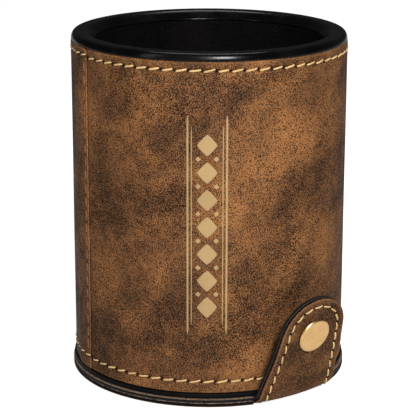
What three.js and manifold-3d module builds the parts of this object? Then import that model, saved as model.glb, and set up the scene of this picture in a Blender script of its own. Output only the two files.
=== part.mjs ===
// Round cup wrapped in leatherette, for pens or dice. A disc-shaped flap closes a compartment
// in its base, and a tongue on the flap's front snaps onto a stud on the wall.
//
// Millimetres, +Z up. Z is the cup's axis and z = 0 is the flap's underside, which stands on
// the desk. The snap tab is at the front (-Y) and the flap's leather hinge is at the back (+Y).
// An angle around the axis is counted from the front, positive towards +X.
import * as THREE from 'three';
import { mergeVertices } from 'three/addons/utils/BufferGeometryUtils.js';
import Module from 'manifold-3d';

const wasm = await Module();
wasm.setup();

// ---- Driving dimensions -------------------------------------------------------------------
const SEGMENTS = 72;            // facets around each round piece
const GLUE = 0.1;               // glue line between bonded pieces
const SLIP = 0.2;               // clearance between pieces that part when the base opens

const WRAP_R = 41.5;            // outside radius of the leatherette wrap
const WRAP_H = 98.2;
const WRAP_T = 1.2;             // thickness of the wrap
const SHELL_T = 2.0;            // wall of the tube that carries the wrap
const RIM_H = 2.2;              // height of the rim above the wrap
const RIM_SET_BACK = 1.5;       // outer edge of the rim's flat top, in from the wrap
const RIM_TOP_W = 3.0;          // width of that flat top
const WALL_BUILD = 7.2;         // everything between the outside of the wrap and the mouth
const FUNNEL_DEPTH = 2.5;       // from the rim's top down to the mouth
const RIM_FOOT = 0.4;           // rounded foot of the funnel
const RIM_SKIRT = 5.0;          // how far the rim plugs in between tube and inner cup
const CUP_T = 1.7;              // wall and floor of the inner cup
const FLOCK_T = 0.6;
const FLOOR_PAD_T = 1.0;
const COMPARTMENT_H = 19.3;     // clear height of the base compartment, for 16 mm dice

const RING_LIP = 0.45;          // how far the base ring stands out past the wrap
const RING_H = 1.5;
const RING_PLUG = 5.0;          // height of the part of the ring that plugs into the tube
const RING_T = 1.9;
const RING_BEVEL = 0.5;

const LEATHER_T = 0.95;         // one layer of the flap, the tab or the hinge tongue
const BOARD_T = 0.2;            // stiffener between the flap's two layers
const FLAP_LIP = 0.8;           // how far the flap stands out past the wrap

const TAB_LEAN = 16.2;          // degrees that the closed tab leans outwards
const TAB_BEND_R = 0.8;         // inside radius of the bend from flap to tab
const TAB_FOOT_W = 14.0;        // half-width of the tab at its foot
const TAB_HEAD_R = 11.6;        // radius of the tab's round head
const TAB_HEAD_S = 20.9;        // centre of the head, measured up the tab from its foot
const SNAP_S = 20.5;            // centre of the snap, measured the same way
const TAB_TAIL = 0.6;           // leather of the tab's plate that reaches past its axis
const STITCH_INSET = 2.56;      // stitch row in from the edge of the tab, flap and tongue

const THREAD_W = 0.5;
const THREAD_T = 0.35;
const TOP_ROW_DROP = 2.45;      // stitch row below the wrap's top edge
const BOTTOM_ROW_RISE = 3.6;    // stitch row above the wrap's bottom edge

const SEAM_ANGLE = -95.8;       // edge of the wrap's overlap
const SEAM_LAP = 7.0;           // width of the overlap along the wall
const SEAM_RAMP = 4.0;          // stretch over which the upper end climbs onto the lower one
const SEAM_STEP = 0.45;         // height of the edge
const SKIVED_T = 0.6;           // thickness of the lower end inside the overlap
const SEAM_ROW_INSET = 1.3;     // seam stitches in from the edge

const TONGUE_W = 13.0;          // half-width of the hinge tongue
const TONGUE_TOP = 20.0;        // top of the hinge tongue above the desk
const TONGUE_CORNER = 6.0;
const TONGUE_FOOT_GAP = 0.8;    // leather left free to bend between flap and tongue
const HINGE_REACH = 1.6;        // hinge line behind the wrap

const SNAP_CAP_R = 5.43;
const SNAP_CAP_H = 1.25;
const SNAP_POST_R = 1.4;
const SOCKET_T = 1.1;           // wall of the socket
const SOCKET_ROOF = 1.2;
const SOCKET_LIP = 0.6;         // how far the socket reaches past the middle of the ball
const SPRING_T = 0.45;
const SPRING_PLAY = 0.3;        // between the ball and the spring round it
const STUD_BALL_R = 2.0;
const STUD_NECK_R = 1.3;
const STUD_FLANGE_R = 3.5;
const STUD_FLANGE_T = 0.8;
const RIVET_R = 1.6;
const RIVET_HEAD_R = 3.8;
const RIVET_HEAD_T = 0.8;
const HOLE_SLACK = 0.15;        // clearance of a rivet or post in its hole

// ---- Heights and radii that follow --------------------------------------------------------
const TAB_T = 2 * LEATHER_T + GLUE;
const FLAP_T = 2 * LEATHER_T + BOARD_T + 2 * GLUE;
const FLAP_R = WRAP_R + FLAP_LIP;
const RING_Z = FLAP_T + SLIP;
const WALL_Z = RING_Z + RING_H + GLUE;
const WALL_TOP = WALL_Z + WRAP_H;
const RIM_Z = WALL_TOP + GLUE;
const RIM_TOP = RIM_Z + RIM_H;
const MOUTH_R = WRAP_R - WALL_BUILD;
const RIM_TOP_OUT = WRAP_R - RIM_SET_BACK;
const RIM_TOP_IN = RIM_TOP_OUT - RIM_TOP_W;
const SHELL_R = WRAP_R - WRAP_T - GLUE;
const SHELL_BORE_R = SHELL_R - SHELL_T;
const LINING_R = MOUTH_R - GLUE;
const CUP_BORE_R = LINING_R + FLOCK_T + GLUE;
const CUP_R = CUP_BORE_R + CUP_T;
const CUP_Z = FLAP_T + COMPARTMENT_H;
const CUP_TOP = RIM_TOP - FUNNEL_DEPTH - RIM_FOOT - GLUE;
const RING_R = WRAP_R + RING_LIP;
const SOCKET_BORE_R = STUD_BALL_R + SPRING_PLAY + SPRING_T + HOLE_SLACK;
const SOCKET_R = SOCKET_BORE_R + SOCKET_T;
const STEP_ANGLE = 360 / SEGMENTS;

const radians = THREE.MathUtils.degToRad;
const degrees = THREE.MathUtils.radToDeg;
const around = (length, radius) => degrees(length / radius);

// ---- Materials ----------------------------------------------------------------------------
const finish = (color, roughness, metalness = 0) =>
  new THREE.MeshStandardMaterial({ color, roughness, metalness });
const leatherette = finish(0x77513a, 0.6);
const liningFabric = finish(0x14110f, 0.85);
const flock = finish(0x070606, 0.98);
const gloss = finish(0x1b1a1a, 0.3);
const innerPlastic = finish(0x151515, 0.5);
const greyboard = finish(0x5c5248, 0.9);
const thread = finish(0xf0d79a, 0.7);
const brownThread = finish(0x8a6238, 0.7);
const brass = finish(0xd6b278, 0.35, 1);

// ---- Geometry helpers ---------------------------------------------------------------------
// A profile of [radius, height] points, turned once round the Z axis.
function turned(profile, segments = SEGMENTS) {
  const points = profile.map(([r, z]) => new THREE.Vector2(r, z));
  return new THREE.LatheGeometry(points, segments).rotateX(Math.PI / 2);
}

// The same, for a ring whose profile closes on itself.
const turnedRing = (profile, segments) => turned([...profile, profile[0]], segments);

// A straight-walled ring or tube.
function tube(inner, outer, low, high, segments) {
  return turnedRing([[inner, low], [outer, low], [outer, high], [inner, high]], segments);
}

// A straight-walled disc or rod.
function rod(radius, low, high, segments) {
  return turned([[0, low], [radius, low], [radius, high], [0, high]], segments);
}

// Points of an arc about the Z axis, on the same angles as the facets of the turned pieces.
function arc(radius, from, to) {
  const angles = [from];
  const first = Math.floor(from / STEP_ANGLE) + 1;
  for (let k = first; k * STEP_ANGLE < to - 1e-6; k += 1) {
    if (k * STEP_ANGLE > from + 1e-6) angles.push(k * STEP_ANGLE);
  }
  angles.push(to);
  return angles.map((a) => polar(radius, a));
}

function polar(radius, angle) {
  return new THREE.Vector2(radius * Math.sin(radians(angle)), -radius * Math.cos(radians(angle)));
}

// A flat outline, pushed up along Z.
function extruded(outline, low, high, holes = []) {
  const shape = new THREE.Shape(outline);
  shape.holes.push(...holes);
  const options = { depth: high - low, bevelEnabled: false, curveSegments: 24 };
  return new THREE.ExtrudeGeometry(shape, options).translate(0, 0, low);
}

function roundHole(x, y, radius) {
  return new THREE.Path().absarc(x, y, radius, 0, 2 * Math.PI, true);
}

function toSolid(geometry) {
  const bare = geometry.clone();
  bare.deleteAttribute('normal');
  bare.deleteAttribute('uv');
  const merged = mergeVertices(bare, 1e-5);
  return new wasm.Manifold(new wasm.Mesh({
    numProp: 3,
    vertProperties: new Float32Array(merged.attributes.position.array),
    triVerts: new Uint32Array(merged.index.array),
  }));
}

function toGeometry(solid) {
  const mesh = solid.getMesh();
  const geometry = new THREE.BufferGeometry();
  geometry.setAttribute('position', new THREE.BufferAttribute(mesh.vertProperties, mesh.numProp));
  geometry.setIndex(new THREE.BufferAttribute(mesh.triVerts, 1));
  return geometry;
}

const cut = (geometry, tool) => toGeometry(toSolid(geometry).subtract(toSolid(tool)));
const common = (geometry, tool) => toGeometry(toSolid(geometry).intersect(toSolid(tool)));

function piece(name, geometry, material) {
  const mesh = new THREE.Mesh(geometry, material);
  mesh.name = name;
  return mesh;
}

// ---- The tab's place ----------------------------------------------------------------------
// In side view the leather turns up from the flap in an arc and goes on as a flat, leaning plate.
// The foot is the point of its outer face where the arc ends.
const lean = radians(TAB_LEAN);
const BEND_OUT_R = TAB_BEND_R + TAB_T;
const BEND_REACH = RING_R + GLUE - TAB_BEND_R * Math.cos(lean);
const FOOT_REACH = BEND_REACH + BEND_OUT_R * Math.cos(lean);
const FOOT_Z = BEND_OUT_R * (1 - Math.sin(lean));

// The tab turns about one line. It is the one that carries the middle of the leather at the end
// of the bend from its bent place to where it lies when the bend is laid flat.
const TAB_SWING = 90 - TAB_LEAN;
const middleR = TAB_BEND_R + TAB_T / 2;
const bent = new THREE.Vector2(middleR * Math.cos(lean), BEND_OUT_R - middleR * Math.sin(lean));
const flat = new THREE.Vector2(middleR * radians(TAB_SWING), TAB_T / 2);
const halfWay = flat.clone().sub(bent).divideScalar(2);
const spread = 1 / Math.tan(radians(TAB_SWING / 2));
const TAB_AXIS_REACH = BEND_REACH + bent.x + halfWay.x + halfWay.y * spread;
const TAB_AXIS_Z = bent.y + halfWay.y - halfWay.x * spread;
const FLAP_FRONT = TAB_AXIS_REACH - TAB_T / 2 - TAB_TAIL - SLIP;
const HINGE_Y = WRAP_R + HINGE_REACH;
const HINGE_Z = FLAP_T / 2;

const snapReach = FOOT_REACH + SNAP_S * Math.sin(lean);
const snapZ = FOOT_Z + SNAP_S * Math.cos(lean);
const ballDepth = TAB_T + GLUE + SOCKET_ROOF + STUD_BALL_R + SLIP;
const BALL_REACH = snapReach - ballDepth * Math.cos(lean);
const STUD_Z = snapZ + ballDepth * Math.sin(lean);

// ---- The cup ------------------------------------------------------------------------------
// Turns a piece made along Z to point to the front, at the stud's height.
const towardsFront = (geometry) => geometry.rotateX(Math.PI / 2).translate(0, 0, STUD_Z);

// The rivet's flat head seats against the tube's round bore.
const rivetSeat = Math.sqrt(SHELL_BORE_R ** 2 - RIVET_HEAD_R ** 2) - GLUE;

function studHole() {
  return towardsFront(rod(RIVET_R + HOLE_SLACK, SHELL_BORE_R - 3, WRAP_R + 3, 24));
}

function shellTube() {
  return cut(tube(SHELL_BORE_R, SHELL_R, WALL_Z, WALL_TOP, SEGMENTS), studHole());
}

// The inner cup stands clear of the rivet's head, with a flat on its wall where it would touch.
function innerCup() {
  const cupWall = turned([
    [0, CUP_Z],
    [CUP_R, CUP_Z],
    [CUP_R, CUP_TOP],
    [CUP_BORE_R, CUP_TOP],
    [CUP_BORE_R, CUP_Z + CUP_T],
    [0, CUP_Z + CUP_T],
  ]);
  const room = rod(RIVET_HEAD_R + SLIP, rivetSeat - RIVET_HEAD_T - SLIP, WRAP_R, 32);
  return cut(cupWall, towardsFront(room));
}

function rimRing() {
  const skirtIn = CUP_R + GLUE;
  const skirtOut = SHELL_BORE_R - GLUE;
  const funnelFoot = RIM_TOP - FUNNEL_DEPTH;
  return turnedRing([
    [skirtIn, CUP_TOP - RIM_SKIRT],
    [skirtOut, CUP_TOP - RIM_SKIRT],
    [skirtOut, RIM_Z],
    [WRAP_R + GLUE, RIM_Z],
    [WRAP_R - 0.1, RIM_Z + RIM_H * 0.36],
    [WRAP_R - 0.6, RIM_Z + RIM_H * 0.72],
    [RIM_TOP_OUT + 0.3, RIM_TOP - 0.15],
    [RIM_TOP_OUT, RIM_TOP],
    [RIM_TOP_IN, RIM_TOP],
    [RIM_TOP_IN - 0.4, RIM_TOP - 0.2],
    [MOUTH_R + 0.25, funnelFoot + 0.3],
    [MOUTH_R, funnelFoot],
    [MOUTH_R + GLUE, funnelFoot - RIM_FOOT],
    [skirtIn, funnelFoot - RIM_FOOT],
  ]);
}

function baseRing() {
  const plugR = SHELL_BORE_R - GLUE;
  const bore = plugR - RING_T;
  const lipTop = RING_Z + RING_H;
  return turnedRing([
    [bore, RING_Z],
    [RING_R - RING_BEVEL, RING_Z],
    [RING_R, RING_Z + RING_BEVEL],
    [RING_R, lipTop],
    [plugR, lipTop],
    [plugR, lipTop + RING_PLUG],
    [bore, lipTop + RING_PLUG],
  ]);
}

// The wrap goes once round the tube. Its two ends are thinned where they overlap, and the upper
// end's edge shows as a low step.
const lapStart = SEAM_ANGLE - around(SEAM_LAP, WRAP_R);
const rampStart = lapStart - around(SEAM_RAMP, WRAP_R);
const LAP_R = WRAP_R + SEAM_STEP;

function wrapPanel() {
  const inner = WRAP_R - WRAP_T;
  const seamGap = around(SLIP, WRAP_R);
  const outline = [
    ...arc(inner + SKIVED_T, lapStart, SEAM_ANGLE + seamGap),
    ...arc(WRAP_R, SEAM_ANGLE + seamGap, rampStart + 360),
    ...arc(LAP_R, lapStart + 360, SEAM_ANGLE + 360),
    ...arc(inner + SKIVED_T + GLUE, lapStart + 360, SEAM_ANGLE + 360).reverse(),
    ...arc(inner, lapStart, rampStart + 360).reverse(),
  ];
  return cut(extruded(outline, WALL_Z, WALL_TOP), studHole());
}

// A thread that follows the wrap's outside, climbing onto the overlap with it.
function wrapThread(height) {
  const band = (offset) => [
    ...arc(WRAP_R + offset, SEAM_ANGLE + 1, rampStart + 360),
    ...arc(LAP_R + offset, lapStart + 360, SEAM_ANGLE + 359),
  ];
  const outline = [...band(GLUE + THREAD_T), ...band(GLUE).reverse()];
  return extruded(outline, height - THREAD_W / 2, height + THREAD_W / 2);
}

function seamThread() {
  const middle = SEAM_ANGLE - around(SEAM_ROW_INSET, WRAP_R);
  const half = around(THREAD_W / 2, WRAP_R);
  const outline = [
    ...arc(LAP_R + GLUE + THREAD_T, middle - half, middle + half),
    ...arc(LAP_R + GLUE, middle - half, middle + half).reverse(),
  ];
  const margin = 2 * THREAD_W;
  const low = WALL_Z + BOTTOM_ROW_RISE + margin;
  return extruded(outline, low, WALL_TOP - TOP_ROW_DROP - margin);
}

// Half of a snap: a ball on a neck and a flange, riveted through the wall.
function snapStud() {
  const seat = WRAP_R + GLUE;
  const neckTop = BALL_REACH - Math.sqrt(STUD_BALL_R ** 2 - STUD_NECK_R ** 2);
  const ball = [];
  const startAngle = -Math.acos(STUD_NECK_R / STUD_BALL_R);
  for (let k = 1; k < 8; k += 1) {
    const a = THREE.MathUtils.lerp(startAngle, Math.PI / 2, k / 8);
    ball.push([STUD_BALL_R * Math.cos(a), BALL_REACH + STUD_BALL_R * Math.sin(a)]);
  }
  return towardsFront(turned([
    [0, seat],
    [STUD_FLANGE_R, seat],
    [STUD_FLANGE_R, seat + STUD_FLANGE_T * 0.6],
    [STUD_FLANGE_R - 0.4, seat + STUD_FLANGE_T],
    [STUD_NECK_R, seat + STUD_FLANGE_T],
    [STUD_NECK_R, neckTop],
    ...ball,
    [0, BALL_REACH + STUD_BALL_R],
  ], 32));
}

function studRivet() {
  return towardsFront(turned([
    [0, rivetSeat - RIVET_HEAD_T],
    [RIVET_HEAD_R, rivetSeat - RIVET_HEAD_T],
    [RIVET_HEAD_R, rivetSeat],
    [RIVET_R, rivetSeat],
    [RIVET_R, WRAP_R],
    [0, WRAP_R],
  ], 32));
}

// ---- The hinge tongue on the back wall ----------------------------------------------------
// Two layers of leather that lie round the wall, cut to one outline: square at the foot, with
// round corners at the top.
const tongueIn = WRAP_R + GLUE + THREAD_T + GLUE;
const tongueFoot = FLAP_T + TONGUE_FOOT_GAP;

function tonguePath(inset) {
  const half = TONGUE_W - inset;
  const top = TONGUE_TOP - inset;
  const corner = TONGUE_CORNER - inset;
  const path = [new THREE.Vector2(half, tongueFoot)];
  for (const [side, from] of [[1, 0], [-1, Math.PI / 2]]) {
    for (let k = 0; k <= 6; k += 1) {
      const a = from + (k / 6) * (Math.PI / 2);
      const x = side * (half - corner) + corner * Math.cos(a);
      path.push(new THREE.Vector2(x, top - corner + corner * Math.sin(a)));
    }
  }
  path.push(new THREE.Vector2(-half, tongueFoot));
  return path;
}

// What lies between two radii behind the cup, within an outline drawn in the XZ plane.
function roundTheBack(outline, inner, outer) {
  const spread = around(TONGUE_W, WRAP_R) + STEP_ANGLE;
  const sector = [
    ...arc(outer, 180 - spread, 180 + spread),
    ...arc(inner, 180 - spread, 180 + spread).reverse(),
  ];
  const block = extruded(sector, 0, TONGUE_TOP + 1);
  const cutter = extruded(outline, 0, outer + 1).rotateX(Math.PI / 2).rotateZ(Math.PI);
  return common(block, cutter);
}

function tongueThread() {
  const rim = tongueIn + TAB_T + GLUE;
  const outline = [
    ...tonguePath(STITCH_INSET - THREAD_W / 2),
    ...tonguePath(STITCH_INSET + THREAD_W / 2).reverse(),
  ];
  return roundTheBack(outline, rim, rim + THREAD_T);
}

// ---- The flap -----------------------------------------------------------------------------
// A disc with two stubs, where the leather leads on into the tab and into the hinge tongue.
function flapOutline(radius, inset) {
  const frontHalf = TAB_FOOT_W - inset;
  const backHalf = TONGUE_W - inset;
  const frontAngle = degrees(Math.asin(frontHalf / radius));
  const backAngle = degrees(Math.asin(backHalf / radius));
  const front = FLAP_FRONT - inset;
  const back = HINGE_Y - FLAP_T / 2 + GLUE - inset;
  return [
    new THREE.Vector2(frontHalf, -front),
    ...arc(radius, frontAngle, 180 - backAngle),
    new THREE.Vector2(backHalf, back),
    new THREE.Vector2(-backHalf, back),
    ...arc(radius, 180 + backAngle, 360 - frontAngle),
    new THREE.Vector2(-frontHalf, -front),
  ];
}

const flapRowR = FLAP_R - STITCH_INSET;

// The stitches are sunk into a groove, so that the flap stands flat.
function flapCover() {
  const groove = tube(
    flapRowR - THREAD_W / 2 - GLUE, flapRowR + THREAD_W / 2 + GLUE,
    -1, THREAD_T + 2 * GLUE, SEGMENTS,
  );
  return cut(extruded(flapOutline(FLAP_R, 0), 0, LEATHER_T), groove);
}

const boardZ = LEATHER_T + GLUE;
const flapBoard = () => extruded(flapOutline(FLAP_R - 0.4, 0.4), boardZ, boardZ + BOARD_T);
const flapLining = () => extruded(flapOutline(FLAP_R, 0), FLAP_T - LEATHER_T, FLAP_T);
const flapThread = () =>
  tube(flapRowR - THREAD_W / 2, flapRowR + THREAD_W / 2, GLUE, GLUE + THREAD_T, SEGMENTS);

// ---- The tab, in its own frame ------------------------------------------------------------
// x across, y up the tab from its foot, z out of its face, which is z = 0.
function tabPath(inset) {
  const foot = TAB_FOOT_W - inset;
  const head = TAB_HEAD_R - inset;
  const span = Math.hypot(foot, TAB_HEAD_S);
  const rise = Math.atan2(TAB_HEAD_S, -foot) - Math.asin(head / span);
  const side = new THREE.Vector2(Math.cos(rise), Math.sin(rise));
  const tail = (FOOT_Z - TAB_AXIS_Z) / Math.cos(lean) + TAB_TAIL;
  const start = new THREE.Vector2(foot, 0).addScaledVector(side, -tail / side.y);
  const touch = rise - Math.PI / 2;
  const path = [start];
  for (let k = 0; k <= 20; k += 1) {
    const a = THREE.MathUtils.lerp(touch, Math.PI - touch, k / 20);
    path.push(new THREE.Vector2(head * Math.cos(a), TAB_HEAD_S + head * Math.sin(a)));
  }
  path.push(new THREE.Vector2(-start.x, start.y));
  return path;
}

function tabLayer(low, high) {
  const hole = roundHole(0, SNAP_S, SNAP_POST_R + HOLE_SLACK);
  return extruded(tabPath(0), low, high, [hole]);
}

function tabThread() {
  const outline = [
    ...tabPath(STITCH_INSET - THREAD_W / 2),
    ...tabPath(STITCH_INSET + THREAD_W / 2).reverse(),
  ];
  return extruded(outline, GLUE, GLUE + THREAD_T);
}

const roofFace = -(TAB_T + GLUE);
const roofBack = roofFace - SOCKET_ROOF;

function snapCap() {
  return turned([
    [0, roofBack + HOLE_SLACK],
    [SNAP_POST_R, roofBack + HOLE_SLACK],
    [SNAP_POST_R, GLUE],
    [SNAP_CAP_R - 0.5, GLUE],
    [SNAP_CAP_R, SNAP_CAP_H * 0.45],
    [SNAP_CAP_R - 0.15, SNAP_CAP_H * 0.8],
    [SNAP_CAP_R - 0.6, SNAP_CAP_H],
    [0, SNAP_CAP_H],
  ], 40).translate(0, SNAP_S, 0);
}

function snapSocket() {
  const mouth = -ballDepth - SOCKET_LIP;
  return turnedRing([
    [SNAP_POST_R + HOLE_SLACK, roofBack],
    [SOCKET_BORE_R, roofBack],
    [SOCKET_BORE_R, mouth],
    [SOCKET_R - 0.3, mouth],
    [SOCKET_R, mouth + 0.4],
    [SOCKET_R, roofFace - 0.5],
    [SOCKET_R - 0.6, roofFace],
    [SNAP_POST_R + HOLE_SLACK, roofFace],
  ], 32).translate(0, SNAP_S, 0);
}

function socketSpring() {
  const outer = SOCKET_BORE_R - HOLE_SLACK;
  const low = -ballDepth - SPRING_T / 2;
  return tube(outer - SPRING_T, outer, low, low + SPRING_T, 32).translate(0, SNAP_S, 0);
}

// ---- Assembly -----------------------------------------------------------------------------
const cup = new THREE.Group();
cup.add(
  piece('shell_tube', shellTube(), innerPlastic),
  piece('inner_cup', innerCup(), innerPlastic),
  piece('rim_ring', rimRing(), gloss),
  piece('base_ring', baseRing(), gloss),
  piece('lining_sleeve', tube(LINING_R, LINING_R + FLOCK_T, CUP_Z + CUP_T + FLOOR_PAD_T + 2 * GLUE,
    CUP_TOP, SEGMENTS), flock),
  piece('lining_floor', rod(CUP_BORE_R - GLUE, CUP_Z + CUP_T + GLUE,
    CUP_Z + CUP_T + GLUE + FLOOR_PAD_T, SEGMENTS), flock),
  piece('wrap_panel', wrapPanel(), leatherette),
  piece('wrap_top_stitching', wrapThread(WALL_TOP - TOP_ROW_DROP), thread),
  piece('wrap_bottom_stitching', wrapThread(WALL_Z + BOTTOM_ROW_RISE), thread),
  piece('wrap_seam_stitching', seamThread(), brownThread),
  piece('snap_stud', snapStud(), brass),
  piece('stud_rivet', studRivet(), brass),
  piece('hinge_tongue_lining', roundTheBack(tonguePath(0), tongueIn, tongueIn + LEATHER_T),
    liningFabric),
  piece('hinge_tongue_cover', roundTheBack(tonguePath(0), tongueIn + LEATHER_T + GLUE,
    tongueIn + TAB_T), leatherette),
  piece('hinge_tongue_stitching', tongueThread(), thread),
);

const flap = new THREE.Group();
flap.add(
  piece('flap_cover', flapCover(), leatherette),
  piece('flap_board', flapBoard(), greyboard),
  piece('flap_lining', flapLining(), liningFabric),
  piece('flap_stitching', flapThread(), thread),
);

const tab = new THREE.Group();
tab.position.set(0, -FOOT_REACH, FOOT_Z);
tab.rotation.x = Math.PI / 2 + lean;
tab.add(
  piece('tab_cover', tabLayer(-LEATHER_T, 0), leatherette),
  piece('tab_lining', tabLayer(-TAB_T, -TAB_T + LEATHER_T), liningFabric),
  piece('tab_stitching', tabThread(), thread),
  piece('snap_cap', snapCap(), brass),
  piece('snap_socket', snapSocket(), brass),
  piece('socket_spring', socketSpring(), brass),
);

const group = new THREE.Group();
group.add(cup, flap, tab);

export default group;
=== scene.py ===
# %% [markdown]
# # A leatherette cup, built round a finished mechanical model
# The cup is a plastic tube wrapped in leatherette, with a black rim, a flocked lining and a
# compartment in its base that a leather flap and a snap close. A mechanical model of it exists
# already and stays fixed. This lesson makes the surfaces that a reader would see and touch:
# sewn leather, moulded plastic, velvet and brass.

# %% Load the fixed frame
import math
import bmesh
import bpy
import numpy as np
from mathutils import Euler, Matrix, Vector


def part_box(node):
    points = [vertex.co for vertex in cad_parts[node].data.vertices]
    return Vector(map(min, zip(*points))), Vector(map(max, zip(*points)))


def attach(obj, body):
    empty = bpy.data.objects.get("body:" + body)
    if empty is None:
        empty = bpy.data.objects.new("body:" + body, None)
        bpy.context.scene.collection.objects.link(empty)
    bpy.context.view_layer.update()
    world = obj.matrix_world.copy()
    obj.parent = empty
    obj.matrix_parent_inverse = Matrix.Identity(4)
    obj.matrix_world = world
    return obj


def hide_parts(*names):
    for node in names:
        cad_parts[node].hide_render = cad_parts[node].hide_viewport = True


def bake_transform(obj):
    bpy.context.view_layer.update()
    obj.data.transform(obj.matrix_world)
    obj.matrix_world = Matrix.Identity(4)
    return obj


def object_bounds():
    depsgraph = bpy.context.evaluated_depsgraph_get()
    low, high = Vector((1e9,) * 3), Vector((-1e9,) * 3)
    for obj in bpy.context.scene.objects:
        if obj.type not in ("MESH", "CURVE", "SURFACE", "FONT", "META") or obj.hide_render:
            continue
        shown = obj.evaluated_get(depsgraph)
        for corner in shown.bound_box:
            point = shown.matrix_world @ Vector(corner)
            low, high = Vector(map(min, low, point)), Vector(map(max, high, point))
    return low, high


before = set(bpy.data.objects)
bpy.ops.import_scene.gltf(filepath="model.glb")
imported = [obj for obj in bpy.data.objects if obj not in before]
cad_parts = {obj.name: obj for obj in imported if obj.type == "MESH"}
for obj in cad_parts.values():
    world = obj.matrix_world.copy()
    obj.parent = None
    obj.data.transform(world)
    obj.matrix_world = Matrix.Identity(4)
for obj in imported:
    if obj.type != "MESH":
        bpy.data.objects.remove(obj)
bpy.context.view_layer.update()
MM = 0.001

# %% [markdown]
# Every size that the mechanical model already settles is measured on it, so that the leather
# always fits the tube under it. An angle round the cup is counted from the front, where the
# snap is, and grows towards +X.

# %% Measure the frame


def node_points(name):
    """All corners of one mechanical piece, as an array of x, y, z."""
    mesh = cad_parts[name].data
    co = np.empty(len(mesh.vertices) * 3)
    mesh.vertices.foreach_get("co", co)
    return co.reshape(-1, 3)


def reach(name):
    """Smallest and largest distance of a piece's corners from the cup's axis."""
    distance = np.hypot(*node_points(name)[:, :2].T)
    return distance.min(), distance.max()


def smooth(edge0, edge1, value):
    """0 before edge0, 1 after edge1, and an S-curve between them; with edge0 the larger of the
    two it falls instead."""
    t = np.clip((np.asarray(value, float) - edge0) / (edge1 - edge0), 0, 1)
    return t * t * (3 - 2 * t)


def polar(radius, angle):
    """Formula: x = r sin a, y = -r cos a, so angle 0 points to the front."""
    return radius * np.sin(angle), -radius * np.cos(angle)


def outwards(angle):
    """Unit vectors that point away from the cup's axis."""
    return np.stack([*polar(1, angle), 0 * angle], -1)


def around(angle):
    """Unit vectors that point round the cup, the way the angle grows."""
    return np.stack([np.cos(angle), np.sin(angle), 0 * angle], -1)


wrap_low, wrap_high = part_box("wrap_panel")
WRAP_R = wrap_high.x
WRAP_Z0, WRAP_Z1 = wrap_low.z, wrap_high.z
WRAP_T = WRAP_R - reach("wrap_panel")[0]
LAP_R = reach("wrap_panel")[1]
RIM_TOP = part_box("rim_ring")[1].z
RING_R = reach("base_ring")[1]
FLAP_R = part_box("flap_cover")[1].x
LEATHER_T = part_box("flap_cover")[1].z
print(f"wrap radius {WRAP_R / MM:.2f} mm, height {(WRAP_Z1 - WRAP_Z0) / MM:.1f} mm, "
      f"overlap stands {(LAP_R - WRAP_R) / MM:.2f} mm proud")

# %% [markdown]
# The camera is far away with a long lens, as a catalogue picture is taken, so the cup's sides
# stay nearly parallel. Its place is written as a distance and a height in cup radii.

# %% Camera
CAMERA_ANGLE = math.radians(-37.8)
CAMERA_DISTANCE = 12.25 * WRAP_R
CAMERA_RISE = 4.492 * WRAP_R
CAMERA_TILT = 0.2718
CAMERA_YAW = 0.0004
CAMERA_ROLL = 0.0029
LENS = 147.85
SENSOR_WIDTH = 36


def make_camera():
    """A camera that looks at the cup's front left, tilted down and turned by the angles above."""
    data = bpy.data.cameras.new("camera")
    data.lens = LENS
    data.sensor_width = SENSOR_WIDTH
    data.clip_start = 0.01
    camera = bpy.data.objects.new("camera", data)
    x, y = polar(CAMERA_DISTANCE, CAMERA_ANGLE)
    turn = Euler((math.pi / 2 - CAMERA_TILT, 0, CAMERA_ANGLE + CAMERA_YAW)).to_matrix().to_4x4()
    turn = turn @ Matrix.Rotation(CAMERA_ROLL, 4, "Z")
    camera.matrix_world = Matrix.Translation((x, y, WRAP_Z0 + CAMERA_RISE)) @ turn
    bpy.context.scene.collection.objects.link(camera)
    bpy.context.scene.camera = camera


make_camera()

# %% [markdown]
# ## Surfaces from grids
# Each new piece is a grid of points worked out with numpy. A grid can close on itself in either
# direction, and where a whole row falls on one point, that point becomes a pole. Merging the
# doubled points seals seams and poles, and then the faces are turned to point outwards.

# %% Grid helpers


def grid_faces(rows, columns, close_rows, close_columns):
    """Four corners of each face of a grid of points, as one array."""
    i = np.arange(rows if close_rows else rows - 1)[:, None]
    j = np.arange(columns if close_columns else columns - 1)[None, :]
    down, right = (i + 1) % rows, (j + 1) % columns
    corners = (i * columns + j, down * columns + j, down * columns + right, i * columns + right)
    return np.stack(np.broadcast_arrays(*corners), -1).reshape(-1, 4)


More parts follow.
